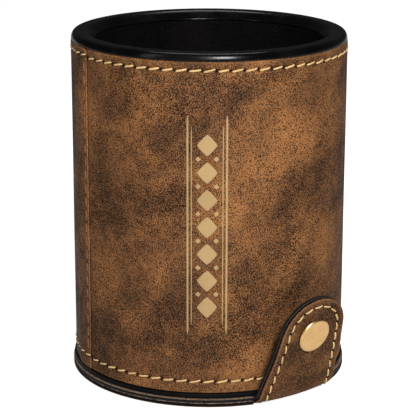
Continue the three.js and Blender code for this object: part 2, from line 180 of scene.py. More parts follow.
def build_piece(name, points, faces, attributes=None, sharp=50, uv=None):
    """A mesh object at the origin from points and faces, sealed, with faces out."""
    mesh = bpy.data.meshes.new(name)
    mesh.vertices.add(len(points))
    mesh.vertices.foreach_set("co", np.ascontiguousarray(points, np.float32).ravel())
    mesh.loops.add(faces.size)
    mesh.loops.foreach_set("vertex_index", faces.ravel().astype(np.int32))
    mesh.polygons.add(len(faces))
    mesh.polygons.foreach_set("loop_start", np.arange(0, faces.size, faces.shape[1], dtype=np.int32))
    mesh.update(calc_edges=True)
    for key, values in (attributes or {}).items():
        layer = mesh.attributes.new(key, "FLOAT", "POINT")
        layer.data.foreach_set("value", np.asarray(values, np.float32).ravel())
    if uv is not None:
        mesh.uv_layers.new(name="UVMap").data.foreach_set("uv", uv.astype(np.float32).ravel())
    work = bmesh.new()
    work.from_mesh(mesh)
    bmesh.ops.remove_doubles(work, verts=work.verts, dist=1e-7)
    bmesh.ops.dissolve_degenerate(work, edges=work.edges, dist=1e-8)
    bmesh.ops.recalc_face_normals(work, faces=work.faces)
    work.to_mesh(mesh)
    work.free()
    mesh.polygons.foreach_set("use_smooth", np.ones(len(mesh.polygons), bool))
    mesh.set_sharp_from_angle(angle=math.radians(sharp))
    piece = bpy.data.objects.new(name, mesh)
    bpy.context.scene.collection.objects.link(piece)
    print(f"{name}: {len(mesh.vertices)} points, {len(mesh.polygons)} faces")
    return piece


def grid_piece(name, grid, close_rows=False, close_columns=False, attributes=None, sharp=50):
    """One piece from a grid of points with shape (rows, columns, 3)."""
    faces = grid_faces(grid.shape[0], grid.shape[1], close_rows, close_columns)
    return build_piece(name, grid.reshape(-1, 3), faces, attributes, sharp)


def finish_piece(piece, body, material, replaces=()):
    """Says what a piece moves with, which finish it has and what it stands for."""
    piece.data.materials.append(material)
    if body:
        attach(piece, body)
    if replaces:
        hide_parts(*replaces)
    return piece


def soften_corners(piece, width, sharpest):
    """A small live bevel on every edge that turns by more than `sharpest` degrees."""
    soften = piece.modifiers.new("soft_corners", "BEVEL")
    soften.width = width
    soften.segments = 3
    soften.limit_method = "ANGLE"
    soften.angle_limit = math.radians(sharpest)

# %% [markdown]
# Moulded and turned pieces are all one formula: a profile of radius and height, carried once
# round an axis. Corners are rounded in the profile, because light runs along rounded edges and
# a perfectly sharp one looks computed.

# %% Profiles and turned pieces
TURN_STEPS = 192


def rounded(profile, radius, steps=5):
    """The same closed profile with each corner replaced by a short curve that meets both sides.
    Each curve is a quadratic blend from a point on one side to a point on the next."""
    profile = np.asarray(profile, float)
    before = np.roll(profile, 1, axis=0) - profile
    after = np.roll(profile, -1, axis=0) - profile
    size_before = np.linalg.norm(before, axis=1, keepdims=True)
    size_after = np.linalg.norm(after, axis=1, keepdims=True)
    cut = np.minimum(radius, 0.45 * np.minimum(size_before, size_after))
    start = profile + before / size_before * cut
    end = profile + after / size_after * cut
    t = np.linspace(0, 1, steps)[None, :, None]
    curve = (1 - t) ** 2 * start[:, None] + 2 * t * (1 - t) * profile[:, None] + t ** 2 * end[:, None]
    return curve.reshape(-1, 2)


def turned(name, profile, place=None, steps=TURN_STEPS, closed=True, sharp=40):
    """A profile of [radius, height] turned round Z, then moved by place(points)."""
    profile = np.asarray(profile, float)
    angle = np.linspace(0, 2 * math.pi, steps, endpoint=False)[:, None]
    x, y = polar(profile[None, :, 0], angle)
    grid = np.stack([x, y, np.broadcast_to(profile[None, :, 1], x.shape)], -1)
    if place:
        grid = place(grid)
    return grid_piece(name, grid, close_rows=True, close_columns=closed, sharp=sharp)

# %% [markdown]
# ## Nodes without the clutter
# A material is a small graph. These helpers add one node and wire it in a single call, so each
# finish below reads as a recipe. Colours are written as the eye sees them, 0 to 255, and turned
# into the linear values that light is computed with.

# %% Node helpers


def tone(red, green, blue):
    """A colour seen on screen, as the linear colour that a shader takes."""
    seen = np.array([red, green, blue]) / 255
    linear = np.where(seen <= 0.04045, seen / 12.92, ((seen + 0.055) / 1.055) ** 2.4)
    return (*linear, 1)


def node(tree, kind, inputs=None, **settings):
    """Adds one shader node; an input is a number, a colour or another node's output."""
    made = tree.nodes.new("ShaderNode" + kind)
    for key, value in settings.items():
        setattr(made, key, value)
    for key, value in (inputs or {}).items():
        if isinstance(value, bpy.types.NodeSocket):
            tree.links.new(value, made.inputs[key])
        else:
            made.inputs[key].default_value = value
    return made


def calc(tree, operation, a, b):
    """One sum: ADD, SUBTRACT, MULTIPLY, DIVIDE or MAXIMUM of two values."""
    return node(tree, "Math", {0: a, 1: b}, operation=operation).outputs[0]


def weighted(tree, a, share, b):
    """Formula: a * share + b * (1 - share)."""
    return calc(tree, "ADD", calc(tree, "MULTIPLY", a, share), calc(tree, "MULTIPLY", b, 1 - share))


def blend_colors(tree, factor, a, b, kind="MIX"):
    """Colour a where the factor is 0 and colour b where it is 1."""
    inputs = {0: factor, 6: a, 7: b}
    return node(tree, "Mix", inputs, data_type="RGBA", blend_type=kind).outputs[2]


def spread(tree, value, low, high, to_low=0.0, to_high=1.0):
    """Stretches the part of a value between low and high to another range, with soft ends."""
    inputs = {"Value": value, "From Min": low, "From Max": high, "To Min": to_low, "To Max": to_high}
    return node(tree, "MapRange", inputs, interpolation_type="SMOOTHSTEP").outputs[0]


def noise(tree, coords, size, detail=2.0, roughness=0.5, distortion=0.0):
    """Cloudy noise whose patches are about `size` metres wide."""
    inputs = {"Vector": coords, "Scale": 1 / size, "Detail": detail,
              "Roughness": roughness, "Distortion": distortion}
    return node(tree, "TexNoise", inputs).outputs[0]


def object_coords(tree, squeeze=(1, 1, 1)):
    """Coordinates fixed to the piece; a number above 1 squeezes the pattern along that axis."""
    place = node(tree, "TexCoord").outputs["Object"]
    return node(tree, "Mapping", {"Vector": place, "Scale": squeeze}).outputs[0]


def attribute(tree, name):
    """A number that the mesh carries at each of its points."""
    return node(tree, "Attribute", attribute_name=name).outputs["Fac"]


def new_group(name, inputs, outputs):
    """An empty node group with named float or vector sockets."""
    tree = bpy.data.node_groups.new(name, "ShaderNodeTree")
    kinds = {"float": "NodeSocketFloat", "vector": "NodeSocketVector"}
    for key, kind in inputs.items():
        tree.interface.new_socket(key, in_out="INPUT", socket_type=kinds[kind])
    for key, kind in outputs.items():
        tree.interface.new_socket(key, in_out="OUTPUT", socket_type=kinds[kind])
    start = tree.nodes.new("NodeGroupInput").outputs
    end = tree.nodes.new("NodeGroupOutput").inputs
    return tree, start, end


def place_group(tree, group, **inputs):
    """Puts a group into a graph with its own inputs, and gives its outputs."""
    return node(tree, "Group", inputs, node_tree=group).outputs


def new_material(name, **uniform):
    """A material with its shader; numbers that are the same all over are set here."""
    material = bpy.data.materials.new(name)
    material.use_nodes = True
    tree = material.node_tree
    shader = tree.nodes["Principled BSDF"]
    for key, value in uniform.items():
        shader.inputs[key.replace("_", " ")].default_value = value
    return material, tree, shader


def wire_up(tree, shader, color, rough, height, depth):
    """Links what changes over the surface: its colour, its roughness, and a fine relief whose
    height runs from 0 to 1 and stands for `depth` in metres."""
    relief = node(tree, "Bump", {"Strength": 1.0, "Distance": depth, "Height": height}).outputs[0]
    for key, value in (("Base Color", color), ("Roughness", rough), ("Normal", relief)):
        tree.links.new(value, shader.inputs[key])

# %% [markdown]
# ## Leatherette
# This kind of leatherette has an orange-brown ground colour with a nearly black top coat that
# was rubbed off unevenly. Close up it is a net of fine dark specks, and from further away it is
# cloudy: where more top coat was left it looks cool and grey, and where it was rubbed through it
# glows. So one noise makes the clouds, stretched along a slant as if the sheet had been wiped, a
# second makes the specks, and the clouds decide how many specks there are. Both are groups,
# because the wrap, the flap and the tab all use them.

# %% Groups for the leatherette
CLOUD_SLANT = (0, -0.6, 0)
CLOUD_STRETCH = (1.8, 1, 1)
ASIDE = (0.37, 0.11, 0.53)


def moved_aside(tree, coords):
    """The same coordinates moved aside, so that a second noise is independent of the first."""
    return node(tree, "VectorMath", {0: coords, 1: ASIDE}, operation="ADD").outputs[0]


def make_clouds():
    """Dark is where more top coat was left, and Warm is where the ground colour is stronger."""
    tree, start, end = new_group("rubbed_clouds", {"Coords": "vector"},
                                 {"Dark": "float", "Warm": "float"})
    slant = {"Vector": start["Coords"], "Rotation": CLOUD_SLANT, "Scale": CLOUD_STRETCH}
    streaked = node(tree, "Mapping", slant, vector_type="TEXTURE").outputs[0]
    broad = noise(tree, streaked, 20 * MM, detail=3, distortion=0.5)
    small = noise(tree, start["Coords"], 7 * MM, detail=3, roughness=0.55, distortion=0.4)
    warm = noise(tree, moved_aside(tree, streaked), 15 * MM, detail=3, distortion=0.6)
    tree.links.new(spread(tree, weighted(tree, broad, 0.7, small), 0.36, 0.7), end["Dark"])
    tree.links.new(spread(tree, warm, 0.36, 0.68), end["Warm"])
    return tree


def make_specks():
    """A fine noise is a speck where it stands above an edge, and the edge falls as Amount grows.
    Height is the pebbled grain, with the same fine noise on it."""
    tree, start, end = new_group("dark_specks", {"Coords": "vector", "Amount": "float"},
                                 {"Speck": "float", "Height": "float"})
    coords = start["Coords"]
    net = noise(tree, coords, 0.26 * MM, detail=1, distortion=0.3)
    large = noise(tree, moved_aside(tree, coords), 2.4 * MM)
    patchy = calc(tree, "MULTIPLY", calc(tree, "SUBTRACT", large, 0.5), 0.14)
    edge = calc(tree, "SUBTRACT", 0.62, calc(tree, "MULTIPLY", start["Amount"], 0.17))
    above = calc(tree, "SUBTRACT", calc(tree, "ADD", net, patchy), edge)
    tree.links.new(spread(tree, above, -0.035, 0.045), end["Speck"])
    cells = {"Vector": coords, "Scale": 1 / (1.1 * MM)}
    distance = node(tree, "TexVoronoi", cells, feature="SMOOTH_F1").outputs["Distance"]
    pebble = spread(tree, distance, 0.1, 0.75, 1.0, 0.0)
    tree.links.new(weighted(tree, pebble, 0.6, net), end["Height"])
    return tree


clouds_group = make_clouds()
specks_group = make_specks()

# %% Leatherette material
GROUND_DULL = tone(124, 84, 53)
GROUND_WARM = tone(160, 109, 65)
TOP_COAT = tone(16, 12, 10)
COOL_FILM = tone(66, 50, 37)
# Pale edge colour: rubbed wear and a painted highlight together.
RUBBED_EDGE_AND_HIGHLIGHT = tone(160, 112, 74)
# Cut edge colour, which also paints shade into the needle holes.
CUT_EDGE_AND_PIT_SHADE = tone(12, 11, 11)
FILM_COVER = 0.4
SPECK_COVER = 0.94


def make_leatherette(name, speck_base, wear_and_highlight_share):
    """Ground colour, cool film and dark specks; edges paler from wear and a painted highlight,
    painted shade in the needle pits, and cut edges dark.
    """
    material, tree, shader = new_material(name, Specular_IOR_Level=0.06)
    coords = object_coords(tree)
    clouds = place_group(tree, clouds_group, Coords=coords)
    amount = calc(tree, "ADD", calc(tree, "MULTIPLY", clouds["Dark"], 0.6), speck_base)
    specks = place_group(tree, specks_group, Coords=coords, Amount=amount)
    ground = blend_colors(tree, clouds["Warm"], GROUND_DULL, GROUND_WARM)
    film = calc(tree, "MULTIPLY", clouds["Dark"], FILM_COVER)
    coat = calc(tree, "MULTIPLY", specks["Speck"], SPECK_COVER)
    # Paler edges: rubbed wear, and a painted highlight on the rounded edge.
    wear_and_highlight = calc(tree, "MULTIPLY", attribute(tree, "wear_and_highlight"), wear_and_highlight_share)
    specked = blend_colors(tree, coat, blend_colors(tree, film, ground, COOL_FILM), TOP_COAT)
    rubbed_and_highlit = blend_colors(tree, wear_and_highlight, specked, RUBBED_EDGE_AND_HIGHLIGHT)
    # Painted shade: the needle holes take the cut edge colour.
    pit_shaded = blend_colors(tree, attribute(tree, "pit_shade"), rubbed_and_highlit, CUT_EDGE_AND_PIT_SHADE)
    color = blend_colors(tree, attribute(tree, "face"), CUT_EDGE_AND_PIT_SHADE, pit_shaded)
    rough = spread(tree, specks["Speck"], 0, 1, 0.5, 0.7)
    wire_up(tree, shader, color, rough, specks["Height"], 0.07 * MM)
    return material


wrap_leather = make_leatherette("wrap_leatherette", speck_base=0.52, wear_and_highlight_share=0.3)
flap_leather = make_leatherette("flap_leatherette", speck_base=0.48, wear_and_highlight_share=0.32)
print("leatherette ready")

# %% [markdown]
# ## Thread, flock, plastic and metal
# Sewing thread is two strands twisted together, so its UV map runs along and around each stitch
# and a slanted wave on it gives the strands, with painted shade in the furrows between them.
# Flock is upright fibre: it swallows light, so it looks nearly black, with soft brushed marks
# and paler fibres that are painted sheen. The plastic keeps faint moulding ripples and hairline
# scratches, which only show in its gloss, and the brass is brushed and slightly tarnished.

# %% Thread


def make_thread(name, light, furrow_shade):
    """Light strands with painted shade in the furrows between them, stained a little along the row."""
    material, tree, shader = new_material(name, Specular_IOR_Level=0.35, Sheen_Weight=0.15)
    uv = node(tree, "TexCoord").outputs["UV"]
    bands = {"Vector": uv, "Scale": 1.0, "Distortion": 0.6}
    twist = node(tree, "TexWave", bands, bands_direction="DIAGONAL").outputs["Fac"]
    place = object_coords(tree)
    stain = noise(tree, place, 6 * MM)
    fuzz = noise(tree, place, 0.15 * MM)
    depth = spread(tree, twist, 0.15, 0.7)
    shade = spread(tree, stain, 0.3, 0.75, 0.82, 1.0)
    grey = node(tree, "CombineColor", {0: shade, 1: shade, 2: shade}).outputs[0]
    # Painted shade: the furrows between the strands take the darker colour.
    color = blend_colors(tree, 1.0, blend_colors(tree, depth, furrow_shade, light), grey, "MULTIPLY")
    rough = spread(tree, fuzz, 0.2, 0.8, 0.45, 0.7)
    wire_up(tree, shader, color, rough, weighted(tree, depth, 0.8, fuzz), 0.08 * MM)
    return material


gold_thread = make_thread("gold_thread", tone(250, 220, 156), tone(200, 142, 72))
tan_thread = make_thread("tan_thread", tone(158, 104, 60), tone(96, 60, 34))

# %% Flock, backing cloth and board


def make_flock():
    """Black fibre with painted sheen: paler where brushed one way in places, and on single fibres."""
    material, tree, shader = new_material("black_flock", Specular_IOR_Level=0.05)
    brushed_sheen = noise(tree, object_coords(tree, (1, 1, 0.35)), 12 * MM, detail=3, distortion=0.6)
    fibre = noise(tree, object_coords(tree), 0.4 * MM, roughness=0.7)
    # Painted sheen: brushed patches and paler single fibres stand for light caught by the pile.
    pile_sheen = blend_colors(tree, spread(tree, brushed_sheen, 0.35, 0.7), tone(3, 3, 3), tone(10, 8, 9))
    color = blend_colors(tree, spread(tree, fibre, 0.52, 0.68), pile_sheen, tone(25, 22, 23))
    wire_up(tree, shader, color, spread(tree, fibre, 0.2, 0.8, 0.88, 1.0), fibre, 0.3 * MM)
    return material


def make_backing():
    """Black cloth-backed lining: a fine crossed weave, and paler fibres at its cut edge."""
    material, tree, shader = new_material("black_backing", Specular_IOR_Level=0.2, Sheen_Weight=0.02)
    place = object_coords(tree)
    threads = {"Vector": place, "Scale": 260.0, "Distortion": 0.4}
    across = node(tree, "TexWave", threads, bands_direction="X").outputs["Fac"]
    along = node(tree, "TexWave", threads, bands_direction="Y").outputs["Fac"]
    cloth = calc(tree, "MULTIPLY", across, along)
    lint = noise(tree, place, 0.5 * MM, detail=3, roughness=0.7)
    plain = blend_colors(tree, spread(tree, cloth, 0, 1), tone(9, 9, 10), tone(20, 19, 19))
    dusty = blend_colors(tree, spread(tree, lint, 0.56, 0.78), plain, tone(38, 34, 32))
    frayed = calc(tree, "MULTIPLY", attribute(tree, "fray"), spread(tree, lint, 0.35, 0.6, 0.2, 1.0))
    color = blend_colors(tree, frayed, dusty, tone(146, 120, 98))
    rough = spread(tree, lint, 0.2, 0.8, 0.8, 0.95)
    wire_up(tree, shader, color, rough, weighted(tree, cloth, 0.7, lint), 0.09 * MM)
    return material


def make_board():
    """Grey-brown pressed board: long flecks of fibre in thin layers."""
    material, tree, shader = new_material("grey_board", Specular_IOR_Level=0.2)
    fibre = noise(tree, object_coords(tree, (1, 1, 4)), 0.9 * MM, detail=4, roughness=0.7)
    patch = noise(tree, object_coords(tree), 7 * MM)
    grey = blend_colors(tree, spread(tree, patch, 0.3, 0.7), tone(116, 98, 82), tone(150, 130, 110))
    color = blend_colors(tree, spread(tree, fibre, 0.42, 0.6), tone(40, 34, 30), grey)
    wire_up(tree, shader, color, spread(tree, fibre, 0.2, 0.8, 0.75, 0.95), fibre, 0.06 * MM)
    return material


black_flock = make_flock()
black_backing = make_backing()
grey_board = make_board()

# %% Plastic and brass


def make_scratches():
    """Hairlines: noise squeezed hard along one axis, in two directions."""
    tree, start, end = new_group("hairlines", {"Coords": "vector", "Size": "float"}, {"Mark": "float"})
    scale = calc(tree, "DIVIDE", 1.0, start["Size"])
    marks = []
    for stretch in ((1, 0.05, 0.7), (0.08, 1, 0.9)):
        squeezed = node(tree, "Mapping", {"Vector": start["Coords"], "Scale": stretch}).outputs[0]
        line = {"Vector": squeezed, "Scale": scale, "Detail": 3.0, "Distortion": 0.3}
        marks.append(spread(tree, node(tree, "TexNoise", line).outputs[0], 0.6, 0.74))
    tree.links.new(calc(tree, "MAXIMUM", *marks), end["Mark"])
    return tree


hairlines_group = make_scratches()


def make_plastic(name, gloss, seen, ripple, shine):
    """Moulded black plastic: a roughness, the colour seen, the depth of its ripple, its shine."""
    material, tree, shader = new_material(name, Specular_IOR_Level=shine)
    coords = object_coords(tree)
    mark = place_group(tree, hairlines_group, Coords=coords, Size=0.9 * MM)["Mark"]
    dust = noise(tree, coords, 11 * MM, detail=4, roughness=0.6)
    fine = noise(tree, coords, 0.6 * MM)
    waves = noise(tree, object_coords(tree, (1, 1, 2)), 4 * MM, detail=1)
    film = calc(tree, "MULTIPLY", spread(tree, dust, 0.4, 0.75), 0.6)
    color = blend_colors(tree, film, seen, tone(16, 15, 15))
    clean = spread(tree, dust, 0.3, 0.75, gloss, gloss + 0.12)
    rough = calc(tree, "ADD", clean, calc(tree, "MULTIPLY", mark, 0.16))
    wire_up(tree, shader, color, rough, weighted(tree, waves, 0.8, fine), ripple)
    return material


def make_brass(name, polish):
    """Brushed brass: two close yellows, browner and duller along the hairlines."""
    material, tree, shader = new_material(name, Metallic=1.0)
    coords = object_coords(tree)
    mark = place_group(tree, hairlines_group, Coords=coords, Size=0.4 * MM)["Mark"]
    cloud = noise(tree, coords, 3 * MM, detail=3)
    grain = noise(tree, coords, 0.25 * MM)
    clean = blend_colors(tree, spread(tree, cloud, 0.35, 0.7), tone(240, 198, 136), tone(232, 188, 126))
    color = blend_colors(tree, calc(tree, "MULTIPLY", mark, 0.3), clean, tone(166, 128, 80))
    satin = spread(tree, cloud, 0.3, 0.8, polish, polish + 0.08)
    rough = calc(tree, "ADD", satin, calc(tree, "MULTIPLY", mark, 0.12))
    wire_up(tree, shader, color, rough, grain, 0.008 * MM)
    return material


rim_plastic = make_plastic("rim_plastic", 0.16, tone(5, 5, 5), 0.03 * MM, 0.17)
ring_plastic = make_plastic("ring_plastic", 0.5, tone(6, 6, 6), 0.05 * MM, 0.08)
tube_plastic = make_plastic("tube_plastic", 0.42, tone(14, 14, 14), 0.06 * MM, 0.25)
cap_brass = make_brass("satin_brass", 0.3)
print("materials:", len(bpy.data.materials))

# %% [markdown]
# ## The wrap
# The wrap is one strip of leatherette that goes once round the tube and laps over its own start.
# Its surface is a function of two numbers: how far round the strip a point is, and how high.
# The outside climbs a little before the seam, because the upper end lies on the lower one. The
# sewing pulls a shallow channel into the leather, and each needle hole is a small pit, so both
# are real relief, and the pits also get painted shade.

# %% Wrap: sewing plan
PITCH = 4.0 * MM
THREAD_R = 0.26 * MM
STITCH_FILL = 0.86
TOP_ROW_Z = WRAP_Z1 - 2.45 * MM
BOTTOM_ROW_Z = WRAP_Z0 + 3.6 * MM
ROW_SHIFT = 0.65 * MM
SEAM_ROW = 1.3 * MM
SEAM_LAP = 7.0 * MM
SEAM_RAMP = 4.0 * MM
SEAM_CORNER = 2.2 * MM
SKIVED_T = 0.6 * MM
PIT_R = 0.48 * MM
PIT_FILL = 1.7

wrap_corners = node_points("wrap_panel")
corner_angles = np.arctan2(wrap_corners[:, 0], -wrap_corners[:, 1])
SEAM = corner_angles[np.hypot(wrap_corners[:, 0], wrap_corners[:, 1]) > LAP_R - 0.02 * MM].max()
AROUND = 2 * math.pi * WRAP_R
STITCHES = round(AROUND / PITCH)
print(f"seam edge {math.degrees(SEAM):.1f} degrees from the front, {STITCHES} stitches round")


def bell(distance, width):
    """1 at the middle, falling to 0 over about two widths: exp(-(d / w)^2)."""
    return np.exp(-(distance / width) ** 2)


def edge_drop(distance, radius):
    """How far a rounded edge has fallen: r - sqrt(r^2 - (r - d)^2) for a distance d below r."""
    short = np.clip(radius - distance, 0, radius)
    return radius - np.sqrt(radius ** 2 - short ** 2)


def lap_height(along):
    """Rise of the outside onto the lower end, for a distance along the strip."""
    start = AROUND - SEAM_LAP
    return (LAP_R - WRAP_R) * smooth(start - SEAM_RAMP, start, along)


def row_z(base, along):
    """A stitch row stands a little higher where the strip has gone all the way round."""
    return base + ROW_SHIFT * smooth(AROUND - 22 * MM, AROUND - 6 * MM, along)


def wrap_relief(along, z):
    """Depth of channels and pits at points of the outside, and the pits alone as a mask of painted
    shade in the holes.
    """
    depth = np.zeros(np.broadcast(along, z).shape)
    pits = np.zeros_like(depth)
    phase = along / AROUND * STITCHES
    to_hole = (phase - np.round(phase)) * PITCH
    for base in (BOTTOM_ROW_Z, TOP_ROW_Z):
        across = z - row_z(base, along)
        depth += 0.13 * MM * bell(across, 0.55 * MM)
        pits += PIT_FILL * bell(np.hypot(across, to_hole), PIT_R)
        depth -= 0.05 * MM * bell(np.abs(across) - 1.3 * MM, 0.7 * MM)
    to_row = AROUND - SEAM_ROW - along
    depth += 0.1 * MM * bell(to_row, 0.4 * MM)
    slack = np.sin(3 * along / WRAP_R + 0.7) + 0.6 * np.sin(7 * along / WRAP_R + z / (9 * MM))
    pits = np.clip(pits, 0, 1)
    return depth + 0.22 * MM * pits - 0.03 * MM * slack, pits

# %% Wrap: the strip


def make_wrap():
    """The strip as a grid of heights and distances along it. Points crowd at the stitch rows, the
    ends and the seam; the back is three plain rows, and the edges fall off as small rounds."""
    even = np.arange(STITCHES * 12 + 1) / (STITCHES * 12) * AROUND
    near_edge = np.array([0.06, 0.15, 0.3, 0.5, 0.75, 1.0, 1.25, 1.55, 1.85, 2.2, 2.6]) * MM
    under = np.append(np.linspace(-SEAM_LAP, -0.3 * MM, 7), 0.02 * MM)
    along = np.unique(np.concatenate([under, even[1:], AROUND - near_edge, [0.05 * MM]]))
    fine = np.arange(-1.3, 2.15, 0.22) * MM
    near_end = np.array([0, 0.04, 0.12, 0.25, 0.45, 0.8]) * MM
    rows = [WRAP_Z0 + near_end, BOTTOM_ROW_Z + fine, TOP_ROW_Z + fine[fine < 1.5 * MM],
            WRAP_Z1 - near_end, np.linspace(BOTTOM_ROW_Z + 3 * MM, TOP_ROW_Z - 2 * MM, 42)]
    height = np.unique(np.concatenate(rows).round(6))
    share = ((height - WRAP_Z0) / (WRAP_Z1 - WRAP_Z0))[:, None]
    to_edge = AROUND - along
    bottom = WRAP_Z0 + edge_drop(to_edge, SEAM_CORNER / 4)
    top = WRAP_Z1 - edge_drop(to_edge, SEAM_CORNER)
    z = bottom + share * (top - bottom)
    depth, pits = wrap_relief(along[None, :], z)
    radius = WRAP_R + lap_height(along)[None, :] - depth
    radius -= edge_drop(z - z[:1], 0.4 * MM) + edge_drop(z[-1:] - z, 0.4 * MM)
    radius -= edge_drop(to_edge[None, :], 0.3 * MM)
    lower_end = along < 0.03 * MM
    inner = WRAP_R - WRAP_T + (SKIVED_T + 0.1 * MM) * smooth(
        AROUND - SEAM_LAP - SEAM_RAMP, AROUND - SEAM_LAP, along)
    radius[:, lower_end] = np.minimum(radius[:, lower_end], WRAP_R - WRAP_T + SKIVED_T)
    pits[:, lower_end] = 0
    angle = SEAM + along[None, :] / WRAP_R
    outside = np.stack([*polar(radius, angle), z], -1)
    back_z = np.stack([z[-1], (z[-1] + z[0]) / 2, z[0]])
    back_r = np.broadcast_to(inner, back_z.shape)
    back = np.stack([*polar(back_r, angle), back_z], -1)
    # The ends and the seam edge are paler: rubbed wear, and a painted highlight on their rounded edges.
    pale_ends = smooth(1.0 * MM, 0.1 * MM, np.minimum(z - z[:1], z[-1:] - z))
    wear_and_highlight = 0.6 * np.maximum(pale_ends, smooth(1.1 * MM, 0.1 * MM, to_edge))
    none = np.zeros(back_z.shape)
    marks = {"pit_shade": np.concatenate([pits, none]), "wear_and_highlight": np.concatenate([wear_and_highlight, none]),
             "face": np.concatenate([np.ones(z.shape), none])}
    wrap = grid_piece("wrap", np.concatenate([outside, back]), close_rows=True, attributes=marks)
    return finish_piece(wrap, "cup", wrap_leather, ["wrap_panel"])


make_wrap()

# %% [markdown]
# ## Stitches
# A lockstitch comes up out of one hole and dives into the next, so each stitch is a low arch of
# thread with both ends below the surface. It also lies slightly across the row, because the
# thread always passes the needle on the same side. Hundreds of them share one formula, and a
# seeded generator makes each a little different.

# %% Stitches: one formula for every row


def stitch_row(name, centres, along, outward, pitch, body, material, replaces=(),
               slant=0.12, radius=THREAD_R, rise=0.2 * MM, seed=1):
    """Formula: an ellipse of thread is carried along u from -1 to 1; it is thick in the middle,
    closes to a point at both ends, and its height is rise minus a part that grows as u^4."""
    rng = np.random.default_rng(seed)
    count = len(centres)
    across = np.cross(outward, along)
    lean = slant + rng.normal(0, 0.035, (count, 1))
    run = along * np.cos(lean) + across * np.sin(lean)
    side = np.cross(outward, run)
    half = pitch * STITCH_FILL / 2 * (1 + rng.normal(0, 0.04, count))[:, None]
    u = np.array([-1, -0.94, -0.78, -0.5, -0.18, 0.18, 0.5, 0.78, 0.94, 1])
    round_angle = np.linspace(0, 2 * math.pi, 6, endpoint=False)
    thick = radius * (1 - u ** 6) ** 0.5 * (1 + 0.1 * rng.normal(0, 1, (count, 1)).clip(-1, 1))
    height = rise - (rise + 0.3 * MM) * np.abs(u) ** 4 + 0.08 * MM * u
    middle = centres[:, None, :] + run[:, None, :] * (half * u)[..., None]
    middle = middle + outward[:, None, :] * height[None, :, None]
    ring = (side[:, None, None, :] * np.cos(round_angle)[None, None, :, None] * 1.1
            + outward[:, None, None, :] * np.sin(round_angle)[None, None, :, None] * 0.85)
    points = middle[:, :, None, :] + ring * thick[:, :, None, None]
    rows, columns = len(u), len(round_angle)
    one = grid_faces(rows, columns, False, True)
    faces = (one[None] + (np.arange(count) * rows * columns)[:, None, None]).reshape(-1, 4)
    i, j = np.divmod(np.arange((rows - 1) * columns), columns)
    corner_u = np.stack([u[i], u[i + 1], u[i + 1], u[i]], -1) * pitch / (1.6 * MM)
    corner_v = np.stack([j, j, j + 1, j + 1], -1) / columns
    uv = np.tile(np.stack([corner_u, corner_v], -1)[None], (count, 1, 1, 1))
    piece = build_piece(name, points.reshape(-1, 3), faces, sharp=80, uv=uv.reshape(-1, 2))
    return finish_piece(piece, body, material, replaces)


def wrap_stitches(name, base, seed):
    """Stitches between neighbouring needle holes, all the way round the strip."""
    along = (np.arange(STITCHES) + 0.5) / STITCHES * AROUND
    angle = SEAM + along / WRAP_R
    z = row_z(base, along)
    depth = wrap_relief(along, z)[0]
    radius = WRAP_R + lap_height(along) - depth
    centres = np.stack([*polar(radius, angle), z], -1)
    stitch_row(name + "_stitches", centres, around(angle), outwards(angle), PITCH, "cup",
               gold_thread, [name + "_stitching"], slant=0.2, seed=seed)


wrap_stitches("wrap_top", TOP_ROW_Z, 11)
wrap_stitches("wrap_bottom", BOTTOM_ROW_Z, 12)

# %% Stitches down the seam


def seam_stitches():
    """A tan row down the overlap, nearly the colour of the leather."""
    low, high = BOTTOM_ROW_Z + 2 * MM, TOP_ROW_Z - 1 * MM
    count = int((high - low) / PITCH)
    z = low + (np.arange(count) + 0.5) * (high - low) / count
    angle = np.full(count, SEAM - SEAM_ROW / WRAP_R)
    outward = outwards(angle)
    centres = outward * (LAP_R - 0.16 * MM) + np.array([0, 0, 1]) * z[:, None]
    up = np.tile([0.0, 0.0, 1.0], (count, 1))
    stitch_row("wrap_seam_stitches", centres, up, outward, PITCH, "cup",
               tan_thread, ["wrap_seam_stitching"], slant=0.1, radius=0.24 * MM, rise=0.12 * MM,
               seed=13)


seam_stitches()

# %% [markdown]
# ## Rim, base ring and lining
# These are moulded, so a profile turned round the axis is their true shape. The rim is a soft
# bead outside, a flat on top and a funnel down to the lining. Small rounds on every corner give
# the thin bright lines that glossy plastic has.

# %% Rim and base ring
RIM_SET_BACK = 1.5 * MM
RIM_TOP_WIDTH = 3.0 * MM
FUNNEL_DEPTH = 2.5 * MM
rim_low, rim_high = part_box("rim_ring")
MOUTH_R = reach("rim_ring")[0]
SHELL_BORE_R = reach("shell_tube")[0]
CUP_R = reach("inner_cup")[1]
rim_foot = WRAP_Z1 + 0.1 * MM


